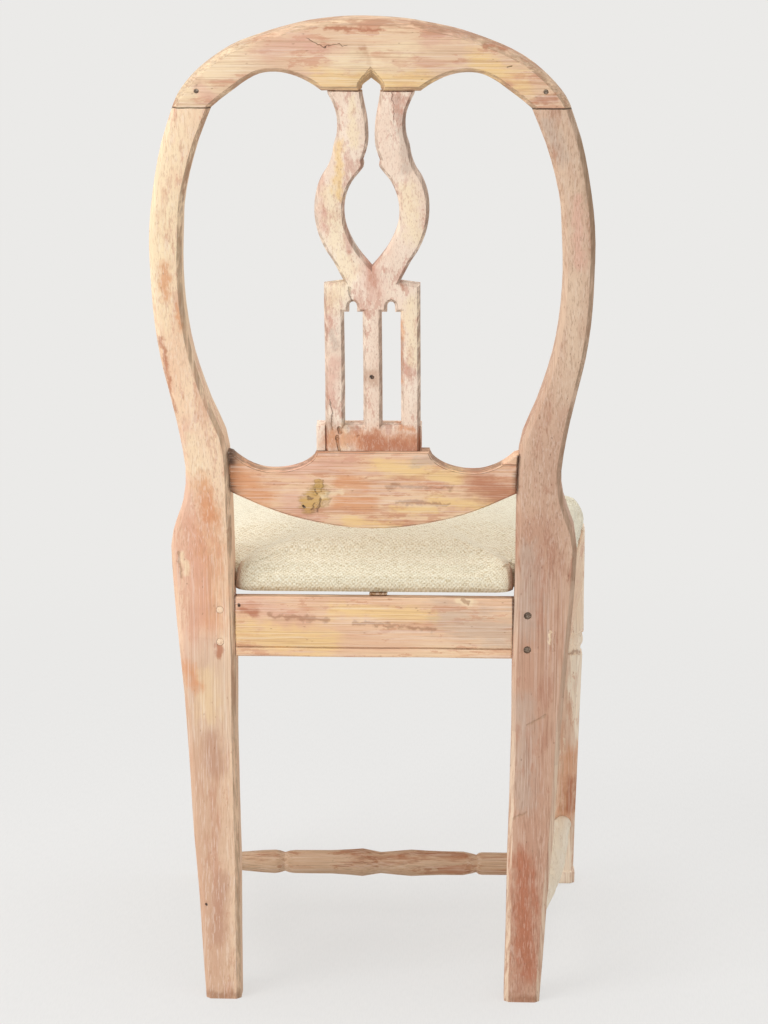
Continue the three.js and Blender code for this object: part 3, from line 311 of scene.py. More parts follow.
class MarkKind(Enum):
    """What a mark is: its tint, strength, depth in metres, raggedness and softness."""

    HOLE = (shade(44, 30, 22), 0.95, 1.6 * MM, 0.1, 0.3)
    NAIL = (shade(92, 74, 62), 0.85, 0.5 * MM, 0.2, 0.4)
    CRACK = (shade(104, 72, 52), 0.65, 0.7 * MM, 0.6, 0.8)
    SEAM = (shade(66, 44, 30), 0.85, 0.5 * MM, 0.06, 0.5)
    # The next two kinds are painted shadow: a brown fade and a near-black core where a rail meets
    # a post.
    SHADE = (shade(96, 60, 38), 0.8, 0.0, 0.04, 1.0)
    DEEP_SHADE = (shade(58, 36, 24), 0.9, 0.0, 0.03, 0.9)
    GRIMY = (shade(150, 118, 88), 0.6, 0.0, 0.6, 1.0)
    SAND = (shade(226, 198, 170), 0.6, 0.0, 0.4, 1.0)
    KNOT = (shade(170, 118, 84), 0.5, 0.2 * MM, 0.4, 0.9)
    SCRATCH = (shade(176, 140, 112), 0.7, 0.4 * MM, 0.4, 0.8)
    CREAM = (shade(250, 229, 190), 0.6, 0.0, 0.8, 1.0)
    YELLOW = (shade(243, 206, 144), 0.8, 0.0, 0.8, 1.0)
    ORANGE = (shade(218, 146, 98), 0.7, 0.0, 0.8, 1.0)
    RUST = (shade(176, 100, 66), 0.72, 0.0, 0.9, 1.0)
    PINK = (shade(222, 170, 150), 0.55, 0.0, 0.9, 1.0)
    ROSE = (shade(186, 138, 114), 0.62, 0.0, 0.3, 1.0)
    GREY = (shade(190, 170, 154), 0.5, 0.0, 0.9, 1.0)
    BROWN = (shade(160, 112, 82), 0.6, 0.0, 0.9, 1.0)
    FILLER = (shade(208, 166, 96), 0.85, -0.9 * MM, 0.9, 0.5)

    def __init__(
        self, tint: Colour, strength: float, depth: float, ragged: float, soft: float
    ) -> None:
        """Names the parts of the member's value.

        Args:
            tint: the mark's colour.
            strength: how much of the wood's colour it hides.
            depth: how deep it goes, or how far it stands out where it is negative.
            ragged: how far its edge wanders, as a share of its width.
            soft: how gradually it fades, as a share of its width.
        """
        self.tint = tint
        self.strength = strength
        self.depth = depth
        self.ragged = ragged
        self.soft = soft


@dataclass(frozen=True)
class Mark:
    """A mark seen from behind, along a line in X and Z; its numbers are millimetres."""

    kind: MarkKind
    start: tuple[float, float]
    end: tuple[float, float]
    width: float


@dataclass(frozen=True)
class Tones:
    """A wood's colours, and how strongly scrubbing left pale streaks along its grain."""

    mid: Colour
    light: Colour
    dark: Colour
    fleck: Colour
    # Grime: real grime, and painted shade on faces turned from the light. Edge: wear, and painted
    # highlight.
    grime: Colour = shade(146, 118, 90)
    edge: Colour = shade(250, 229, 200)
    scrubbed: float = 0.35


ZONES = Cloud((3.2, 17, 17))
DRIFT = Cloud((12, 60, 60), (3, 5, 1), 5, 0.62)
SPECKS = Cloud((17, 330, 330), (0, 0, 0), 5, 0.64, 0.4)
HAIRS = Cloud((11, 850, 850), (7, 2, 4), 4, 0.62)
FILM = Cloud((9, 330, 330), (1, 8, 6), 6, 0.72)
FLAKES = Cloud((26, 90, 90), (9, 3, 2), 8, 0.7)


@dataclass(frozen=True)
class TimberFinish:
    """Old stripped wood: mottled tones, grain, and the flecks that stripping left in it.

    A band holds the two noise levels between which a layer fades in.
    """

    name: str
    grain: Grain
    tones: Tones
    flecked: float
    seed: float
    marks: tuple[Mark, ...] = ()
    tone_band: Band = (0.42, 0.58)
    stain_band: Band = (0.53, 0.6)
    stained: float = 0.6
    speck_band: Band = (0.53, 0.6)
    speckled: float = 0.28
    flake_band: Band = (0.58, 0.595)
    flaked: float = 0.55
    comb_band: Band = (0.52, 0.59)
    combed: float = 0.34
    scrub_band: Band = (0.015, 0.09)
    streak: Colour = shade(252, 240, 224)
    # Bands and shares of the grime with painted shade, and of the wear with painted highlight.
    grime_band: Band = (0.4, 0.54)
    grimed: float = 0.75
    worn_and_lit_band: Band = (0.44, 0.53)
    worn_and_lit: float = 0.6
    pit_stretch: Point = (60, 150, 150)
    pit_band: Band = (0.03, 0.1)
    pitted: float = 0.5
    depth: float = 0.8 * MM
    sway_stretch: Point = (110, 110, 110)
    mark_sway: float = 22 * MM
    most_sway: float = 0.6
    wander: float = 9.0

    def build(self) -> bpy.types.Material:
        """Returns the material."""
        graph, tones = Graph(self.name), self.tones
        place = graph.place()
        wood = graph.mapped(place, turn=self.grain.value, shift=(self.seed, 0.37 * self.seed, 0))
        zones, drift, specks, hairs, film, flakes = (
            graph.cloud(wood, cloud) for cloud in (ZONES, DRIFT, SPECKS, HAIRS, FILM, FLAKES)
        )
        tone = (zones * 0.45 + drift * 0.35 + hairs * 0.2).within(*self.tone_band)
        colour = graph.mix(tone, tones.mid, tones.light)
        stain_and_shade = (drift * 0.5 + zones * 0.25 + film * 0.25).within(*self._lowered(self.stain_band))
        colour = graph.mix(stain_and_shade * self.stained, colour, tones.fleck)
        speck = (specks * 0.7 + drift * 0.3).within(*self.speck_band)
        colour = graph.mix(speck * self.speckled, colour, tones.fleck)
        flake = (flakes * 0.75 + drift * 0.25).within(*self._lowered(self.flake_band))
        colour = graph.mix(flake * self.flaked, colour, tones.fleck)
        broken = drift * 0.35 + specks * 0.3 + flakes * 0.35
        masks = [self._mask(graph, place, broken, mark) for mark in self.marks]
        for mark, mask in zip(self.marks, masks):
            colour = graph.mix(mask * mark.kind.strength, colour, mark.kind.tint)
        comb = (hairs * 0.75 + film * 0.25).within(*self.comb_band)
        colour = graph.mix(comb * self.combed, colour, tones.dark)
        scrub = (film * 0.5 + hairs * -0.5).within(*self.scrub_band)
        colour = graph.mix(scrub * (0.12 + 0.5 * tones.scrubbed), colour, self.streak)
        # Grime with painted shade on faces turned from the key lamp, then wear with painted
        # highlight on edges turned toward it.
        patchy = (flakes * 0.5 + film * 0.5).within(*self.grime_band)
        grime = graph.attribute("grime") * patchy
        colour = graph.mix(grime * self.grimed, colour, tones.grime)
        worn_and_lit = graph.attribute("worn_and_lit") * film.within(*self.worn_and_lit_band)
        colour = graph.mix(worn_and_lit * self.worn_and_lit, colour, tones.edge)
        pits = 1 - graph.cells(wood, self.pit_stretch).within(*self.pit_band)
        colour = graph.mix(pits * self.pitted, colour, tones.dark)
        height = (hairs * 0.35 + specks * 0.25 + drift * 0.3 - pits * 0.4) * self.depth
        for mark, mask in zip(self.marks, masks):
            if mark.kind.depth:
                height = height - mask * mark.kind.depth
        graph.relief(height)
        return graph.finish(colour, 0.66 + specks * 0.18)

    def _lowered(self, band: Band) -> Band:
        """Returns a band lowered by how flecked the wood is, so that more of the layer shows."""
        return tuple(level - 0.05 * self.flecked for level in band)

    def _mask(
        self, graph: Graph, place: bpy.types.NodeSocket, broken: Value, mark: Mark
    ) -> Value:
        """Returns how much a mark shows, from its distance in X and Z to the mark's line.

        Args:
            graph: the material's graph.
            place: the object's coordinates.
            broken: the cloud that breaks up the mark's edge.
            mark: the mark.

        Returns:
            The share, from 0 to 1.
        """
        kind, width = mark.kind, mark.width * MM
        x, _, z = graph.parts(place)
        sway = [
            (graph.cloud(place, Cloud(self.sway_stretch, (i, 5, 3))) - 0.5)
            * (self.mark_sway * min(kind.ragged, self.most_sway))
            for i in range(2)
        ]
        x, z = x + sway[0], z + sway[1]
        start, end = (Vector(point) * MM for point in (mark.start, mark.end))
        run = end - start
        square = max(run.length_squared, 1e-9)
        dx, dz = x - start.x, z - start.y
        along = (dx * (run.x / square) + dz * (run.y / square)).either(0.0).math("MINIMUM", 1.0)
        ox, oz = dx - along * run.x, dz - along * run.y
        reach = (ox * ox + oz * oz).math("SQRT")
        wander = (broken - 0.5) * (self.wander * kind.ragged * width)
        fade = 0.9 * kind.soft
        return 1 - (reach + wander).within((1 - fade) * width, (1 + fade) * width)


@dataclass(frozen=True)
class LinenFinish:
    """Coarse natural linen, whose threads follow the cloth's own flat coordinates.

    Its hem and corners are heights and distances from the chair's middle, in metres.
    """

    name: str = "natural_linen"
    light: Colour = shade(255, 251, 230)
    mid: Colour = shade(247, 236, 206)
    dark: Colour = shade(172, 148, 102)
    # The rear corners' colour: painted shade, warmed by a painted reflection of the wood.
    stain_and_shade: Colour = shade(158, 106, 80)
    pitch: float = 4.3 * MM
    bend: float = 2.2
    thread_band: Band = (0.44, 0.56)
    gap_band: Band = (0.52, 0.62)
    soil_band: Band = (0.52, 0.75)
    hem: float = 406 * MM
    hem_fade: float = 9 * MM
    corner_across: Band = (0.129, 0.136)
    corner_behind: Band = (0.11, 0.13)
    depth: float = 0.4 * MM
    sheen: float = 0.2

    def build(self) -> bpy.types.Material:
        """Returns the material."""
        graph = Graph(self.name)
        cloth = graph.node("ShaderNodeAttribute", {"attribute_name": "cloth"}).outputs["Vector"]
        wander = graph.cloud(cloth, Cloud((40, 40, 1), detail=2)) * (self.bend * self.pitch)
        u, v, _ = graph.parts(cloth)
        turn = 2 * math.pi / self.pitch
        warp = ((u + wander) * turn).math("SINE")
        weft = ((v + wander) * turn).math("SINE")
        weave = (warp * weft) * 0.5 + 0.5
        along = graph.cloud(cloth, Cloud((1300, 240, 1), rough=0.6))
        across = graph.cloud(cloth, Cloud((130, 1300, 1), (4, 4, 0), rough=0.6))
        fuzz = graph.cloud(cloth, Cloud((900, 900, 1), rough=0.7))
        soil = graph.cloud(cloth, Cloud((9, 9, 1)))
        slubs = along * 0.5 + across * 0.3 + fuzz * 0.2
        colour = graph.mix(slubs.within(*self.thread_band), self.mid, self.light)
        shadows = (1 - weave) * 0.34 + (1 - along).within(*self.gap_band) * 0.3
        shadows = shadows + (1 - across).within(*self.gap_band) * 0.34
        colour = graph.mix(shadows, colour, self.dark)
        colour = graph.mix(soil.within(*self.soil_band) * 0.2, colour, self.mid)
        x, y, z = graph.parts(graph.place())
        hem = 1 - z.within(self.hem, self.hem + self.hem_fade)
        colour = graph.mix(hem * 0.35, colour, self.dark)
        # The rear corners beside the posts get painted shade with a warm painted reflection of the
        # wood.
        corner = x.math("ABSOLUTE").within(*self.corner_across) * y.within(*self.corner_behind)
        colour = graph.mix(corner * 0.7, colour, self.stain_and_shade)
        graph.relief((weave + slubs * 0.8) * self.depth)
        graph.shader.inputs["Sheen Weight"].default_value = self.sheen
        return graph.finish(colour, 0.92)


@dataclass(frozen=True)
class WebFinish:
    """Jute webbing, with coarse ribs and a little wear."""

    name: str = "jute"
    tone: Colour = shade(150, 118, 76)
    thread: Colour = shade(186, 154, 106)
    depth: float = 0.5 * MM

    def build(self) -> bpy.types.Material:
        """Returns the material."""
        graph = Graph(self.name)
        place = graph.place()
        rib = graph.cloud(place, Cloud((420, 420, 1), detail=2))
        wear = graph.cloud(place, Cloud((30, 30, 30), detail=4))
        colour = graph.mix(rib.within(0.35, 0.65), self.tone, self.thread)
        colour = graph.mix(wear.within(0.5, 0.75) * 0.5, colour, self.tone)
        graph.relief(rib * self.depth)
        return graph.finish(colour, 0.95)


@dataclass(frozen=True)
class StudioFinish:
    """The pale studio floor, which shows its own plain tone to the camera far from the chair."""

    tone: Colour
    name: str = "studio_cloth"
    fade: Band = (0.7, 2.2)
    deep: float = 0.27
    shaded: float = 0.93

    def build(self) -> bpy.types.Material:
        """Returns the material."""
        graph = Graph(self.name)
        place = graph.place()
        weave = graph.cloud(place, Cloud((700, 60, 700), detail=2))
        folds = graph.cloud(place, Cloud((2.2, 0.7, 0.5), detail=2))
        x, y, _ = graph.parts(place)
        nearness = 1 - (x * x + y * y).math("SQRT").within(*self.fade)
        folded = (weave.within(0.35, 0.7) * 0.3 + folds * 0.4) * nearness
        colour = graph.mix(folded, self.tone, tuple(self.shaded * part for part in self.tone))
        graph.finish(colour, 0.9)
        rays = graph.node("ShaderNodeLightPath").outputs
        seen = Value(graph, rays["Is Camera Ray"]).either(Value(graph, rays["Is Glossy Ray"]))
        seen = seen.either(Value(graph, rays["Is Transmission Ray"]))
        glow = graph.node("ShaderNodeEmission", {}, {0: colour, 1: 1.0})
        share = seen * (1 - nearness * self.deep)
        inputs = {0: share, 1: graph.shader.outputs[0], 2: glow.outputs[0]}
        blended = graph.node("ShaderNodeMixShader", {}, inputs)
        graph.tree.links.new(blended.outputs[0], graph.output.inputs[0])
        return graph.material


def new_object(name: str, data: bpy.types.ID) -> bpy.types.Object:
    """Makes an object and puts it in the scene.

    Args:
        name: the object's name.
        data: its mesh, light or camera.

    Returns:
        The object.
    """
    made = bpy.data.objects.new(name, data)
    bpy.context.scene.collection.objects.link(made)
    return made


def from_bmesh(name: str, bm: bmesh.types.BMesh, sharp: float = 34.0) -> bpy.types.Object:
    """Makes an object from a bmesh, smooth but for its sharp edges.

    Args:
        name: the object's name.
        bm: the bmesh, which is freed.
        sharp: the angle in degrees from which an edge stays sharp.

    Returns:
        The object.
    """
    for face in bm.faces:
        face.smooth = True
    for edge in bm.edges:
        edge.smooth = not edge.is_manifold or edge.calc_face_angle(0) < math.radians(sharp)
    mesh = bpy.data.meshes.new(name)
    bm.to_mesh(mesh)
    bm.free()
    return new_object(name, mesh)


def dress(piece: bpy.types.Object, material: bpy.types.Material) -> None:
    """Gives a piece one material."""
    piece.data.materials.clear()
    piece.data.materials.append(material)


@dataclass
class Timber:
    """A sawn piece of the frame, from the CAD node's own solid: with wear on its edges, and a
    little uneven.

    What faces up or to the sitter's left, toward the key lamp, is bright with wear and painted
    highlight. What faces away is grimy and darkened with painted shade, and more so on a dirtier
    piece. The slanted faces of a chamfered piece are bright up to a height, and grimy with
    painted shade above it.
    """

    node: str
    finish: bpy.types.Material
    slot: str
    body: str = "chair_frame"
    wear: float = 1.0 * MM
    chamfered: bool = False
    rubbed_below: float = 180 * MM
    rubbed_fade: float = 300 * MM
    rub_and_light: float = 1.5
    dirt_and_shade: float = 0.0
    station: float = 14 * MM
    sway: float = 0.35 * MM
    waves: Band = (14.0, 60.0)
    flat: float = math.radians(0.6)
    arris: float = math.radians(30)
    slanted: Band = (0.3, 0.93)

    def build(self) -> bpy.types.Object:
        """Returns the piece, with wear on its edges, which stands for its node."""
        bm = bmesh.new()
        bm.from_mesh(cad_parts[self.node].data)
        bmesh.ops.remove_doubles(bm, verts=bm.verts, dist=WELD)
        bmesh.ops.dissolve_limit(bm, angle_limit=self.flat, verts=bm.verts, edges=bm.edges)
        self._round_arrises(bm)
        self._add_stations(bm)
        for vertex in bm.verts:
            vertex.co += self._unevenness(vertex.co)
        piece = from_bmesh(f"worn_{self.node}", bm)
        dress(piece, self.finish)
        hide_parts(self.node)
        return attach(piece, self.body)

    def _round_arrises(self, bm: bmesh.types.BMesh) -> None:
        """Rounds the outer edges, and marks each face with its wear and painted highlight, and
        with how grimy it is and how much painted shade it has.

        Args:
            bm: the piece's bmesh.
        """
        worn_and_lit = bm.faces.layers.float.new("worn_and_lit")
        grime = bm.faces.layers.float.new("grime")
        edges = [
            edge
            for edge in bm.edges
            if edge.is_manifold and edge.is_convex and edge.calc_face_angle(0) > self.arris
        ]
        made = bmesh.ops.bevel(
            bm,
            geom=edges,
            offset=self.wear,
            offset_type="OFFSET",
            segments=2,
            profile=0.5,
            affect="EDGES",
            clamp_overlap=True,
            material=-1,
        )
        arrises = set(made["faces"])
        for face in bm.faces:
            face[worn_and_lit], face[grime] = self._handled(face, face in arrises)

    def _handled(self, face: bmesh.types.BMFace, arris: bool) -> tuple[float, float]:
        """Tells what use has done to a face, and what painted highlight and painted shade it
        takes.

        Args:
            face: the face.
            arris: whether it is part of a rounded edge.

        Returns:
            How worn and how grimy it is.
        """
        # Faces turned toward the key lamp get painted highlight with their wear, and faces turned
        # away get painted shade with their grime.
        rubbed_and_lit = self.rub_and_light * face.normal.dot(RUBBED_AND_LIT_WAY) - self.dirt_and_shade
        if arris:
            return clamp(rubbed_and_lit + 0.25), clamp(-1.7 * rubbed_and_lit)
        rearward = abs(face.normal.y)
        if self.chamfered and self.slanted[0] < rearward < self.slanted[1]:
            middle = face.calc_center_median()
            height = ramp(middle.z, self.rubbed_below, self.rubbed_below + self.rubbed_fade)
            return 0.9 * (1 - height), clamp(0.35 - 0.8 * rubbed_and_lit, 0.1, 0.75) * height
        return 0.0, 1.4 * self.dirt_and_shade if rearward < self.slanted[0] else 0.0

    def _add_stations(self, bm: bmesh.types.BMesh) -> None:
        """Cuts the piece across its longest side, so that it can sway between the cuts.

        Args:
            bm: the piece's bmesh.
        """
        low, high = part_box(self.node)
        size = high - low
        axis = max(range(3), key=lambda i: size[i])
        normal = Vector([float(i == axis) for i in range(3)])
        for i in range(1, int(size[axis] / self.station)):
            place = low + normal * (i * self.station)
            geometry = [*bm.verts, *bm.edges, *bm.faces]
            bmesh.ops.bisect_plane(bm, geom=geometry, plane_co=place, plane_no=normal)

    def _unevenness(self, place: Vector) -> Vector:
        """Tells how far a point of the whole chair strays, the same for all the pieces.

        Args:
            place: the point.

        Returns:
            The way that it moves.
        """
        slow = noise.noise_vector(place * self.waves[0])
        quick = noise.noise_vector(place * self.waves[1] + Vector((5, 5, 5)))
        return (slow + quick * 0.3) * self.sway


@dataclass
class SlipSeat:
    """The linen cushion, blown up a little by a cloth simulation.

    The cloth is pinned up to a share of the cushion's height, and comes free in a band above
    it. Low and high are the corners of the cushion's solid.
    """

    node: str = "seat_cushion"
    voxel: float = 5 * MM
    pressure: float = 3.2
    frames: int = 16
    cap: float = 4.5 * MM
    shrink: float = 2.2 * MM
    pinned: float = 0.12
    freed: Band = (0.1, 0.35)
    sag: float = 1.8 * MM
    overhang: float = 3.4 * MM
    turned: Band = (-14 * MM, -4 * MM)
    tucked: Band = (-22 * MM, -2 * MM)
    corner: float = 16 * MM
    rear_reach: float = 135.5 * MM
    edge: float = 36 * MM
    finish: LinenFinish = LinenFinish()
    low: Vector = field(init=False)
    high: Vector = field(init=False)

    def build(self) -> bpy.types.Object:
        """Returns the cushion, which stands for its node."""
        self.low, self.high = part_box(self.node)
        bm = bmesh.new()
        bm.from_mesh(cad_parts[self.node].data)
        bmesh.ops.remove_doubles(bm, verts=bm.verts, dist=WELD)
        piece = from_bmesh("linen_cushion", bm, 180)
        self._remesh(piece)
        self._blow_up(piece)
        self._turn_down(piece)
        self._square_corners(piece)
        self._lay_cloth(piece)
        dress(piece, self.finish.build())
        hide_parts(self.node)
        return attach(piece, "slip_seat")

    def _remesh(self, piece: bpy.types.Object) -> None:
        """Gives the cushion an even mesh.

        Args:
            piece: the cushion.
        """
        modifier = piece.modifiers.new("even", "REMESH")
        modifier.mode = "VOXEL"
        modifier.voxel_size = self.voxel
        evaluated = piece.evaluated_get(bpy.context.evaluated_depsgraph_get())
        mesh = bpy.data.meshes.new_from_object(evaluated)
        piece.modifiers.clear()
        piece.data = mesh

    def _height(self, place: Vector) -> float:
        """Returns how high a point lies in the cushion, from 0 to 1."""
        return (place.z - self.low.z) / (self.high.z - self.low.z)

    def _blow_up(self, piece: bpy.types.Object) -> None:
        """Blows the cloth up from inside, and keeps what moved within the cap.

        Args:
            piece: the cushion.
        """
        rest = [vertex.co.copy() for vertex in piece.data.vertices]
        held = piece.vertex_groups.new(name="held")
        for vertex in piece.data.vertices:
            height = self._height(vertex.co)
            loose = max(0.0, self.freed[1] - height)
            held.add([vertex.index], 1.0 if height < self.pinned else loose, "REPLACE")
        modifier = piece.modifiers.new("cloth", "CLOTH")
        settings = modifier.settings
        settings.use_pressure = True
        settings.uniform_pressure_force = self.pressure
        settings.effector_weights.gravity = 0
        settings.vertex_group_mass = "held"
        settings.quality = 5
        scene = bpy.context.scene
        for step in range(1, self.frames + 1):
            scene.frame_set(step)
        evaluated = piece.evaluated_get(bpy.context.evaluated_depsgraph_get())
        moved = [vertex.co.copy() for vertex in evaluated.data.vertices]
        piece.modifiers.clear()
        scene.frame_set(1)
        normals = [vertex.normal.copy() for vertex in piece.data.vertices]
        for vertex, before, after, normal in zip(piece.data.vertices, rest, moved, normals):
            step = after - before
            if step.length > self.cap:
                step.length = self.cap
            share = ramp(self._height(before), *self.freed)
            vertex.co = before + (step - normal * self.shrink) * share

    def _turn_down(self, piece: bpy.types.Object) -> None:
        """Lets the cloth's rear edge hang over the frame, between the posts.

        Args:
            piece: the cushion.
        """
        for vertex in piece.data.vertices:
            rear = ramp(vertex.co.y - self.high.y, *self.turned)
            under = ramp(self.low.z - vertex.co.z, *self.tucked)
            vertex.co.z -= self.sag * rear * under
            vertex.co.y += self.overhang * rear * (0.3 + 0.7 * under)

    def _square_corners(self, piece: bpy.types.Object) -> None:
        """Fills the rear corners out toward the posts.

        Args:
            piece: the cushion.
        """
        radius, reach, end = self.corner, self.rear_reach, self.high.y
        rear = [vertex for vertex in piece.data.vertices if vertex.co.y > end - 2 * radius]
        widest = max(abs(v.co.x) for v in rear if v.co.y > end - 0.5 * radius)
        log.info("rear corners: %.1f mm, filled to %.1f mm", widest / MM, reach / MM)
        for vertex in rear:
            if abs(vertex.co.x) > widest + 1 * MM:
                continue
            grow = ramp(abs(vertex.co.x) / widest, 2 / 3, 1)
            vertex.co.x += math.copysign((reach - widest) * grow, vertex.co.x)
            over = abs(vertex.co.x) - reach + radius
            back = vertex.co.y - end + radius
            if over > 0 and back > 0:
                square = math.hypot(over, back) / (over**5 + back**5) ** 0.2
                vertex.co.x += math.copysign(over * (square - 1), vertex.co.x)
                vertex.co.y += back * (square - 1)

    def _lay_cloth(self, piece: bpy.types.Object) -> None:
        """Writes the flat cloth's coordinates, so that threads run over the edge and down.

        Args:
            piece: the cushion.
        """
        cloth = piece.data.attributes.new("cloth", "FLOAT_VECTOR", "POINT")
        for vertex, row in zip(piece.data.vertices, cloth.data):
            x, y, z = vertex.co
            drop = max(0.0, self.low.z + self.edge - z)
            normal = Vector((vertex.normal.x, vertex.normal.y))
            outward = normal.normalized() if normal.length > 0.3 else Vector((0, 0))
            row.vector = (x + outward.x * drop, y + outward.y * drop, 0)


@dataclass(frozen=True)
class Lamp:
    """A soft square lamp that faces a target."""

    name: str
    place: Point
    target: Point
    size: float
    power: float

    def build(self) -> None:
        """Adds the lamp."""
        light = bpy.data.lights.new(self.name, "AREA")
        light.shape = "SQUARE"
        light.size = self.size
        light.energy = self.power
        lamp = new_object(self.name, light)
        lamp.location = self.place
        way = Vector(self.target) - Vector(self.place)
        lamp.rotation_euler = way.to_track_quat("-Z", "Y").to_euler()


@dataclass
class Studio:
    """The pale floor and the air around it, the lamps and the camera."""

    tone: Colour = shade(235, 234, 232)
    air: Colour = shade(250, 250, 252)
    camera_place: Point = (-0.1033, 2.9972, 0.9985)
    camera_turn: float = math.radians(1.88)
    camera_dip: float = math.radians(10.15)
    camera_roll: float = math.radians(0.08)
    focal_pixels: float = 2961.4
    picture_height: float = 1024.0
    sensor: float = 36.0
    reach: float = 12.0
    air_light: float = 0.6
    lamps: tuple[Lamp, ...] = (
        Lamp("key_lamp", (2.6, 2.2, 2.2), (0.0, 0.1, 0.5), 2.2, 72.0),
        Lamp("top_lamp", (-0.2, -0.3, 3.8), (0.0, 0.0, 0.4), 4.0, 66.0),
    )

    def build(self) -> None:
        """Makes the floor, the lamps, the world and the camera."""
        self._floor()
        for lamp in self.lamps:
            lamp.build()
        self._world()
        self._camera()

    def _floor(self) -> None:
        """Makes the floor, a wide disc."""
        bm = bmesh.new()
        bmesh.ops.create_circle(bm, cap_ends=True, segments=96, radius=self.reach)
        floor = from_bmesh("studio_floor", bm, 60)
        dress(floor, StudioFinish(self.tone).build())

    def _world(self) -> None:
        """Lights the room evenly, and shows the camera the floor's own tone beyond the floor."""
        world = bpy.data.worlds.new("studio_air")
        world.use_nodes = True
        nodes, links = world.node_tree.nodes, world.node_tree.links
        light, shown = nodes["Background"], nodes.new("ShaderNodeBackground")
        rows = ((light, self.air, self.air_light), (shown, self.tone, 1.0))
        for background, colour, strength in rows:
            background.inputs["Color"].default_value = (*colour, 1)
            background.inputs["Strength"].default_value = strength
        mixed = nodes.new("ShaderNodeMixShader")
        links.new(nodes.new("ShaderNodeLightPath").outputs["Is Camera Ray"], mixed.inputs[0])
        links.new(light.outputs[0], mixed.inputs[1])
        links.new(shown.outputs[0], mixed.inputs[2])
        links.new(mixed.outputs[0], nodes["World Output"].inputs[0])
        bpy.context.scene.world = world

    def _camera(self) -> None:
        """Places the camera as the picture was taken: behind the chair, looking a little down."""
        data = bpy.data.cameras.new("camera")
        data.sensor_width = self.sensor
        data.lens = self.sensor * self.focal_pixels / self.picture_height
        camera = new_object("camera", data)
        camera.location = self.camera_place
        turned = Matrix.Rotation(math.pi + self.camera_turn, 3, "Z")
        dipped = Matrix.Rotation(math.pi / 2 - self.camera_dip, 3, "X")
        rolled = Matrix.Rotation(self.camera_roll, 3, "Z")
        camera.rotation_euler = (turned @ dipped @ rolled).to_euler()
        bpy.context.scene.camera = camera


# What shows on each piece from behind. Later marks lie over earlier ones.
LEFT_POST_MARKS = (
    Mark(MarkKind.ROSE, (172, 330), (160, 0), 24),
    Mark(MarkKind.ORANGE, (172, 470), (164, 380), 17),
    Mark(MarkKind.PINK, (186, 560), (176, 350), 16),
    Mark(MarkKind.CREAM, (206, 700), (205, 860), 24),
    Mark(MarkKind.SEAM, (146, 883.2), (192, 883.2), 0.5),
    Mark(MarkKind.RUST, (202, 662), (190, 583), 1.8),
    Mark(MarkKind.ORANGE, (196, 738), (195, 701), 4),
    Mark(MarkKind.ORANGE, (186, 697), (183, 672), 3),
    Mark(MarkKind.CREAM, (199, 800), (196, 745), 7),
    Mark(MarkKind.CREAM, (176, 560), (168, 520), 8),
    Mark(MarkKind.YELLOW, (166, 325), (162, 285), 9),
    Mark(MarkKind.SAND, (166, 345), (160, 275), 20),
    Mark(MarkKind.ORANGE, (183, 335), (176, 315), 6),
    Mark(MarkKind.ORANGE, (166, 520), (160, 490), 8),
    Mark(MarkKind.ROSE, (160, 262), (156, 230), 8),
    Mark(MarkKind.ROSE, (152, 120), (154, 60), 7),
    Mark(MarkKind.BROWN, (180, 3), (138, 3), 4),
    Mark(MarkKind.SCRATCH, (190, 448), (188, 424), 1.6),
    Mark(MarkKind.CREAM, (186, 448), (184, 428), 2.5),
    Mark(MarkKind.HOLE, (166, 94), (166, 93.5), 1.1),
    Mark(MarkKind.RUST, (154, 356), (153, 344), 2.6),
)
RIGHT_POST_MARKS = (
    Mark(MarkKind.ROSE, (-160, 300), (-150, 0), 20),
    Mark(MarkKind.SAND, (-186, 860), (-196, 620), 20),
    Mark(MarkKind.GRIMY, (-196, 860), (-212, 740), 4),
    Mark(MarkKind.SEAM, (-146, 883.2), (-192, 883.2), 0.6),
    Mark(MarkKind.RUST, (-148, 141), (-152, 30), 10),
    Mark(MarkKind.ROSE, (-158, 470), (-160, 330), 22),
    Mark(MarkKind.GREY, (-150, 445), (-151, 380), 12),
    Mark(MarkKind.GREY, (-148, 300), (-150, 200), 9),
    Mark(MarkKind.SCRATCH, (-152, 277), (-171, 287), 1.0),
    Mark(MarkKind.SCRATCH, (-138, 182), (-152, 190), 0.9),
    Mark(MarkKind.CREAM, (-172, 373), (-173, 360), 0.9),
    Mark(MarkKind.BROWN, (-176, 372), (-177, 352), 0.7),
    Mark(MarkKind.BROWN, (-180, 3), (-138, 3), 4),
    Mark(MarkKind.PINK, (-193, 798), (-195, 740), 6),
    Mark(MarkKind.SAND, (-190, 720), (-193, 640), 6),
    Mark(MarkKind.GREY, (-163, 868), (-178, 838), 7),
)
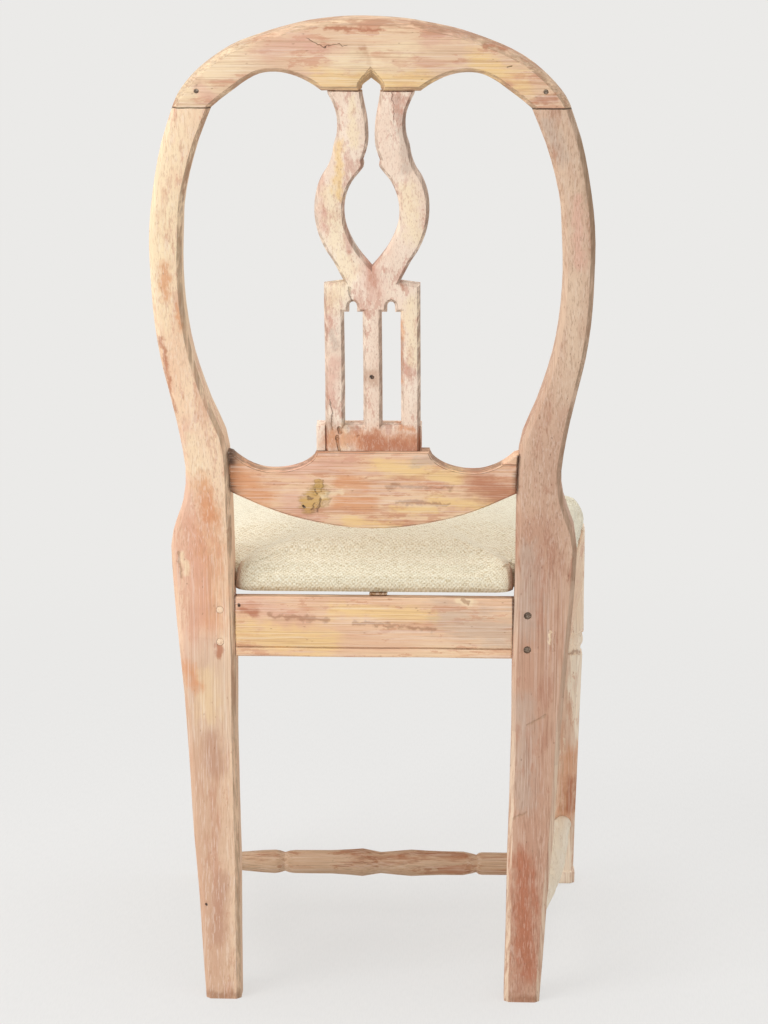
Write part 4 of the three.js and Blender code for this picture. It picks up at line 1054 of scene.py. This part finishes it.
CREST_MARKS = (
    Mark(MarkKind.SEAM, (146, 883.4), (192, 883.4), 0.5),
    Mark(MarkKind.SEAM, (-146, 883.4), (-192, 883.4), 0.6),
    Mark(MarkKind.RUST, (-106, 942), (-140, 939), 2.2),
    Mark(MarkKind.HOLE, (-126, 922), (-130, 922.6), 0.5),
    Mark(MarkKind.RUST, (-152, 891), (-170, 893), 3.4),
    Mark(MarkKind.RUST, (8, 938), (1, 926), 2.4),
    Mark(MarkKind.RUST, (40, 957), (-10, 955), 2.0),
    Mark(MarkKind.PINK, (56, 938), (24, 934), 4),
    Mark(MarkKind.YELLOW, (50, 911), (-50, 908), 8),
    Mark(MarkKind.PINK, (116, 932), (60, 945), 7),
    Mark(MarkKind.PINK, (-50, 950), (-95, 953), 5),
    Mark(MarkKind.CREAM, (172, 898), (118, 936), 14),
    Mark(MarkKind.PINK, (160, 905), (150, 892), 6),
    Mark(MarkKind.CREAM, (30, 925), (-30, 930), 9),
    Mark(MarkKind.YELLOW, (-100, 925), (-140, 905), 9),
    Mark(MarkKind.BROWN, (-40, 962), (-120, 946), 2.6),
    Mark(MarkKind.CRACK, (60, 948), (40, 940), 0.4),
    Mark(MarkKind.CRACK, (40, 940), (22, 941), 0.3),
)
SPLAT_MARKS = (
    Mark(MarkKind.PINK, (48, 816), (44, 770), 4),
    Mark(MarkKind.CREAM, (38, 800), (34, 760), 8),
    Mark(MarkKind.CREAM, (-33, 807), (-40, 765), 8),
    Mark(MarkKind.YELLOW, (30, 850), (31, 800), 4),
    Mark(MarkKind.CREAM, (18, 890), (16, 850), 4),
    Mark(MarkKind.GREY, (-24, 893), (-34, 826), 4),
    Mark(MarkKind.CRACK, (-20, 905), (-21, 870), 0.35),
    Mark(MarkKind.RUST, (1, 740), (-1, 716), 3.4),
    Mark(MarkKind.RUST, (-26, 718), (-30, 714), 2.6),
    Mark(MarkKind.CRACK, (21, 713), (19, 698), 0.8),
    Mark(MarkKind.CRACK, (-20, 700), (-18, 690), 0.7),
    Mark(MarkKind.GREY, (39, 672), (36, 655), 3.4),
    Mark(MarkKind.KNOT, (1, 626.3), (1, 626), 7),
    Mark(MarkKind.HOLE, (1, 626.3), (0.5, 626), 1.7),
    Mark(MarkKind.ORANGE, (-26, 680), (-27, 620), 2.4),
    Mark(MarkKind.CREAM, (-38, 700), (-38, 640), 6),
    Mark(MarkKind.CREAM, (24, 735), (40, 700), 10),
    Mark(MarkKind.PINK, (36, 640), (42, 600), 5),
    Mark(MarkKind.CRACK, (41, 604), (38, 575), 0.8),
    Mark(MarkKind.HOLE, (32.4, 575), (31.8, 571), 1.9),
    Mark(MarkKind.HOLE, (34.4, 566.4), (34, 565), 1.7),
    Mark(MarkKind.HOLE, (35, 565), (32, 552), 1.3),
    Mark(MarkKind.BROWN, (40, 580), (38, 556), 4.5),
    Mark(MarkKind.CREAM, (28, 578), (28, 556), 2.6),
    Mark(MarkKind.NAIL, (14, 567.5), (13.8, 567.5), 1.5),
    Mark(MarkKind.RUST, (16, 575), (13, 560), 3.2),
    Mark(MarkKind.GREY, (24, 574), (22, 556), 4),
    Mark(MarkKind.ORANGE, (40, 564), (-44, 562), 9),
    Mark(MarkKind.RUST, (2, 560), (-42, 556), 9),
    Mark(MarkKind.PINK, (2, 746), (-2, 706), 9),
    Mark(MarkKind.ORANGE, (-26, 575), (-37, 574.5), 2.6),
)
LOWER_RAIL_MARKS = (
    # Painted shadow at both ends of the rail, where it meets the posts.
    Mark(MarkKind.SHADE, (138, 546), (138, 498), 9),
    Mark(MarkKind.DEEP_SHADE, (139, 550), (139, 492), 4),
    Mark(MarkKind.SHADE, (-140, 530), (-140, 500), 4),
    Mark(MarkKind.DEEP_SHADE, (-140, 548), (-140, 494), 1.4),
    Mark(MarkKind.YELLOW, (-6, 538), (-80, 526), 7),
    Mark(MarkKind.YELLOW, (-56, 504), (-118, 496), 5),
    Mark(MarkKind.YELLOW, (25, 482), (-25, 478), 4.5),
    Mark(MarkKind.YELLOW, (-20, 494), (-60, 493), 4),
    Mark(MarkKind.ORANGE, (127, 525), (110, 508), 12),
    Mark(MarkKind.ORANGE, (32, 501), (4, 499), 7.5),
    Mark(MarkKind.ORANGE, (30, 524), (8, 518), 6),
    Mark(MarkKind.RUST, (-104, 522), (-135, 508), 13),
    Mark(MarkKind.PINK, (80, 534), (20, 544), 7),
    Mark(MarkKind.PINK, (80, 500), (60, 482), 9),
    Mark(MarkKind.BROWN, (-14, 518), (-78, 517), 1.7),
    Mark(MarkKind.BROWN, (-24, 500), (-72, 500), 1.5),
    Mark(MarkKind.GREY, (-40, 541), (-60, 545), 4),
    Mark(MarkKind.FILLER, (64, 497), (52, 508), 8),
    Mark(MarkKind.FILLER, (54, 512), (53, 522), 3.2),
    Mark(MarkKind.HOLE, (68, 497), (67, 496), 1.2),
    Mark(MarkKind.CRACK, (62, 507), (58, 504), 0.8),
    Mark(MarkKind.CRACK, (57, 498), (60, 493), 0.7),
    Mark(MarkKind.CRACK, (52, 509), (56, 514), 0.7),
    Mark(MarkKind.CRACK, (50, 503), (54, 492), 0.9),
    Mark(MarkKind.CREAM, (48, 506), (30, 512), 2.0),
)
REAR_RAIL_MARKS = (
    Mark(MarkKind.SEAM, (136.4, 404), (137.6, 344), 1.0),
    Mark(MarkKind.SEAM, (-136.6, 404), (-137.8, 344), 1.0),
    Mark(MarkKind.YELLOW, (134, 366), (50, 358), 13),
    Mark(MarkKind.YELLOW, (40, 392), (-60, 386), 6),
    Mark(MarkKind.PINK, (129, 397), (70, 384), 9),
    Mark(MarkKind.GREY, (-70, 385), (-125, 370), 14),
    Mark(MarkKind.BROWN, (105, 386), (46, 381), 2.0),
    Mark(MarkKind.BROWN, (20, 379), (-60, 372), 1.6),
    Mark(MarkKind.RUST, (130, 392), (118, 388), 4),
    Mark(MarkKind.HOLE, (132.3, 395.6), (132.3, 395), 1.5),
    Mark(MarkKind.CREAM, (-84, 401), (-96, 399), 3.2),
    Mark(MarkKind.BROWN, (-88, 402), (-92, 399), 1.0),
)
LEG_MARKS = tuple(
    Mark(kind, (side * start, high), (side * end, low), width)
    for side in (1, -1)
    for kind, start, high, end, low, width in (
        (MarkKind.ORANGE, 207, 150, 204, 84, 12),
        (MarkKind.RUST, 208, 118, 205, 88, 6),
        # A thin brown line of painted shadow at the leg's ring.
        (MarkKind.BROWN, 200, 267, 214, 267, 1.4),
    )
)


def toned(*levels: tuple[int, int, int], **others: Colour | float) -> Tones:
    """Returns the tones of a wood whose mid, light, dark and fleck look like the levels."""
    return Tones(*(shade(*level) for level in levels), **others)


CHALK = toned(
    (242, 216, 194), (253, 236, 216), (186, 140, 114), (208, 152, 130),
    grime=shade(112, 80, 60), scrubbed=0.15,
)
CREAM = toned((240, 202, 168), (251, 224, 190), (190, 144, 112), (216, 162, 132))
SANDY = toned((230, 194, 162), (247, 220, 182), (172, 130, 98), (208, 146, 118))
BRIGHT = toned((255, 230, 202), (255, 242, 220), (190, 144, 110), (216, 164, 132))
BLUSH = toned((204, 166, 141), (220, 187, 160), (140, 96, 70), (180, 128, 104), scrubbed=0.12)
WARM = toned(
    (232, 188, 154), (243, 210, 172), (176, 122, 88), (208, 144, 112), grime=shade(104, 74, 50)
)
TAN = toned((198, 162, 130), (218, 188, 158), (120, 80, 52), (172, 108, 70))
PALE = toned((242, 226, 200), (251, 240, 220), (204, 180, 150), (222, 196, 166))
BARE = toned((124, 84, 46), (150, 106, 62), (70, 44, 24), (96, 60, 32))
DARK = toned((112, 96, 82), (136, 118, 100), (70, 56, 46), (90, 70, 54))


@dataclass
class Chair:
    """The whole chair: every piece of the frame and the slip seat, with its finish."""

    web: WebFinish = WebFinish()
    seat: SlipSeat = field(default_factory=SlipSeat)

    def _woods(self) -> dict[str, bpy.types.Material]:
        """Returns the frame's woods by name, each with a seed of its own."""
        rows = (
            ("left_post", Grain.UPRIGHT, 0.3, CREAM, LEFT_POST_MARKS),
            ("right_post", Grain.UPRIGHT, 0.6, BLUSH, RIGHT_POST_MARKS),
            ("crest", Grain.ACROSS, 0.9, SANDY, CREST_MARKS),
            ("splat", Grain.LEANING, 0.45, CHALK, SPLAT_MARKS),
            ("lower_rail", Grain.ACROSS, 0.75, WARM, LOWER_RAIL_MARKS),
            ("rear_rail", Grain.ACROSS, 0.4, WARM, REAR_RAIL_MARKS),
            ("front_rail", Grain.ACROSS, 0.4, CREAM, ()),
            ("side_rail", Grain.DEPTH, 0.4, CREAM, ()),
            ("front_leg", Grain.UPRIGHT, 0.5, BRIGHT, LEG_MARKS),
            ("cross_stretcher", Grain.ACROSS, 0.6, TAN, ()),
            ("side_stretcher", Grain.DEPTH, 0.1, PALE, ()),
            ("batten", Grain.ACROSS, 0.05, PALE, ()),
            ("side_batten", Grain.DEPTH, 0.05, PALE, ()),
            ("peg", Grain.DEPTH, 0.3, CREAM, ()),
            ("packing", Grain.DEPTH, 0.1, BARE, ()),
            ("dark_peg", Grain.DEPTH, 0.1, DARK, ()),
        )
        return {
            name: TimberFinish(f"{name}_wood", grain, tones, flecked, 1.7 * i + 1, marks).build()
            for i, (name, grain, flecked, tones, marks) in enumerate(rows)
        }

    def timbers(self) -> list[Timber]:
        """Returns the sawn pieces in the order in which they are made."""
        woods = self._woods()
        back = {"chamfered": True}
        rail = {"rub_and_light": 0.5, "dirt_and_shade": 0.55}
        rows = [
            ("right_back_post", "right_post", "post", back),
            ("left_back_post", "left_post", "post", back | {"rubbed_below": UNDER_ALL}),
            ("back_splat", "splat", "splat", back | {"rub_and_light": 1.0, "dirt_and_shade": 0.4}),
            ("crest_rail", "crest", "crest", back | rail | {"dirt_and_shade": 0.45}),
            ("lower_back_rail", "lower_rail", "lower_rail", rail | {"wear": 1.5 * MM}),
            ("rear_seat_rail", "rear_rail", "rail", rail | {"wear": 1.3 * MM, "dirt_and_shade": 0.5}),
            ("splat_shoe", "splat", "lower_rail", {}),
            ("lower_rail_patch", "lower_rail", "lower_rail", {}),
            ("front_seat_rail", "front_rail", "rail", {}),
            ("left_seat_rail", "side_rail", "rail", {}),
            ("right_seat_rail", "side_rail", "rail", {}),
            ("left_front_leg", "front_leg", "leg", {}),
            ("right_front_leg", "front_leg", "leg", {}),
            ("left_side_stretcher", "side_stretcher", "pale_stretcher", {}),
            ("right_side_stretcher", "side_stretcher", "pale_stretcher", {}),
            ("cross_stretcher", "cross_stretcher", "stretcher", {}),
            ("rear_packing_block", "packing", "dark_peg", {}),
        ]
        seat = {"front": "batten", "rear": "batten", "left": "side_batten", "right": "side_batten"}
        for side, wood in seat.items():
            rows.append((f"seat_{side}_batten", wood, "batten", {"body": "slip_seat"}))
        for node in sorted(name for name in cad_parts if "_peg" in name):
            dark = "crest_peg" in node or node.startswith("right_rear_rail")
            wood = "dark_peg" if dark else "peg"
            rows.append((node, wood, wood, {"wear": 0.3 * MM}))
        return [Timber(node, woods[wood], slot, **others) for node, wood, slot, others in rows]

    def build(self) -> None:
        """Makes every piece."""
        for timber in self.timbers():
            piece = timber.build()
            log.info("%s: %d faces", piece.name, len(piece.data.polygons))
        web = self.web.build()
        for name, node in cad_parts.items():
            if "webbing" in name:
                dress(node, web)
        cushion = self.seat.build()
        log.info("%s: %d faces", cushion.name, len(cushion.data.polygons))


def main() -> None:
    """Builds the chair and its studio."""
    logging.basicConfig(level=logging.INFO)
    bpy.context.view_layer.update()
    noise.seed_set(NOISE_SEED)
    bpy.context.scene.view_settings.view_transform = "Standard"
    Studio().build()
    Chair().build()
    bpy.context.view_layer.update()


if __name__ == "__main__":
    main()
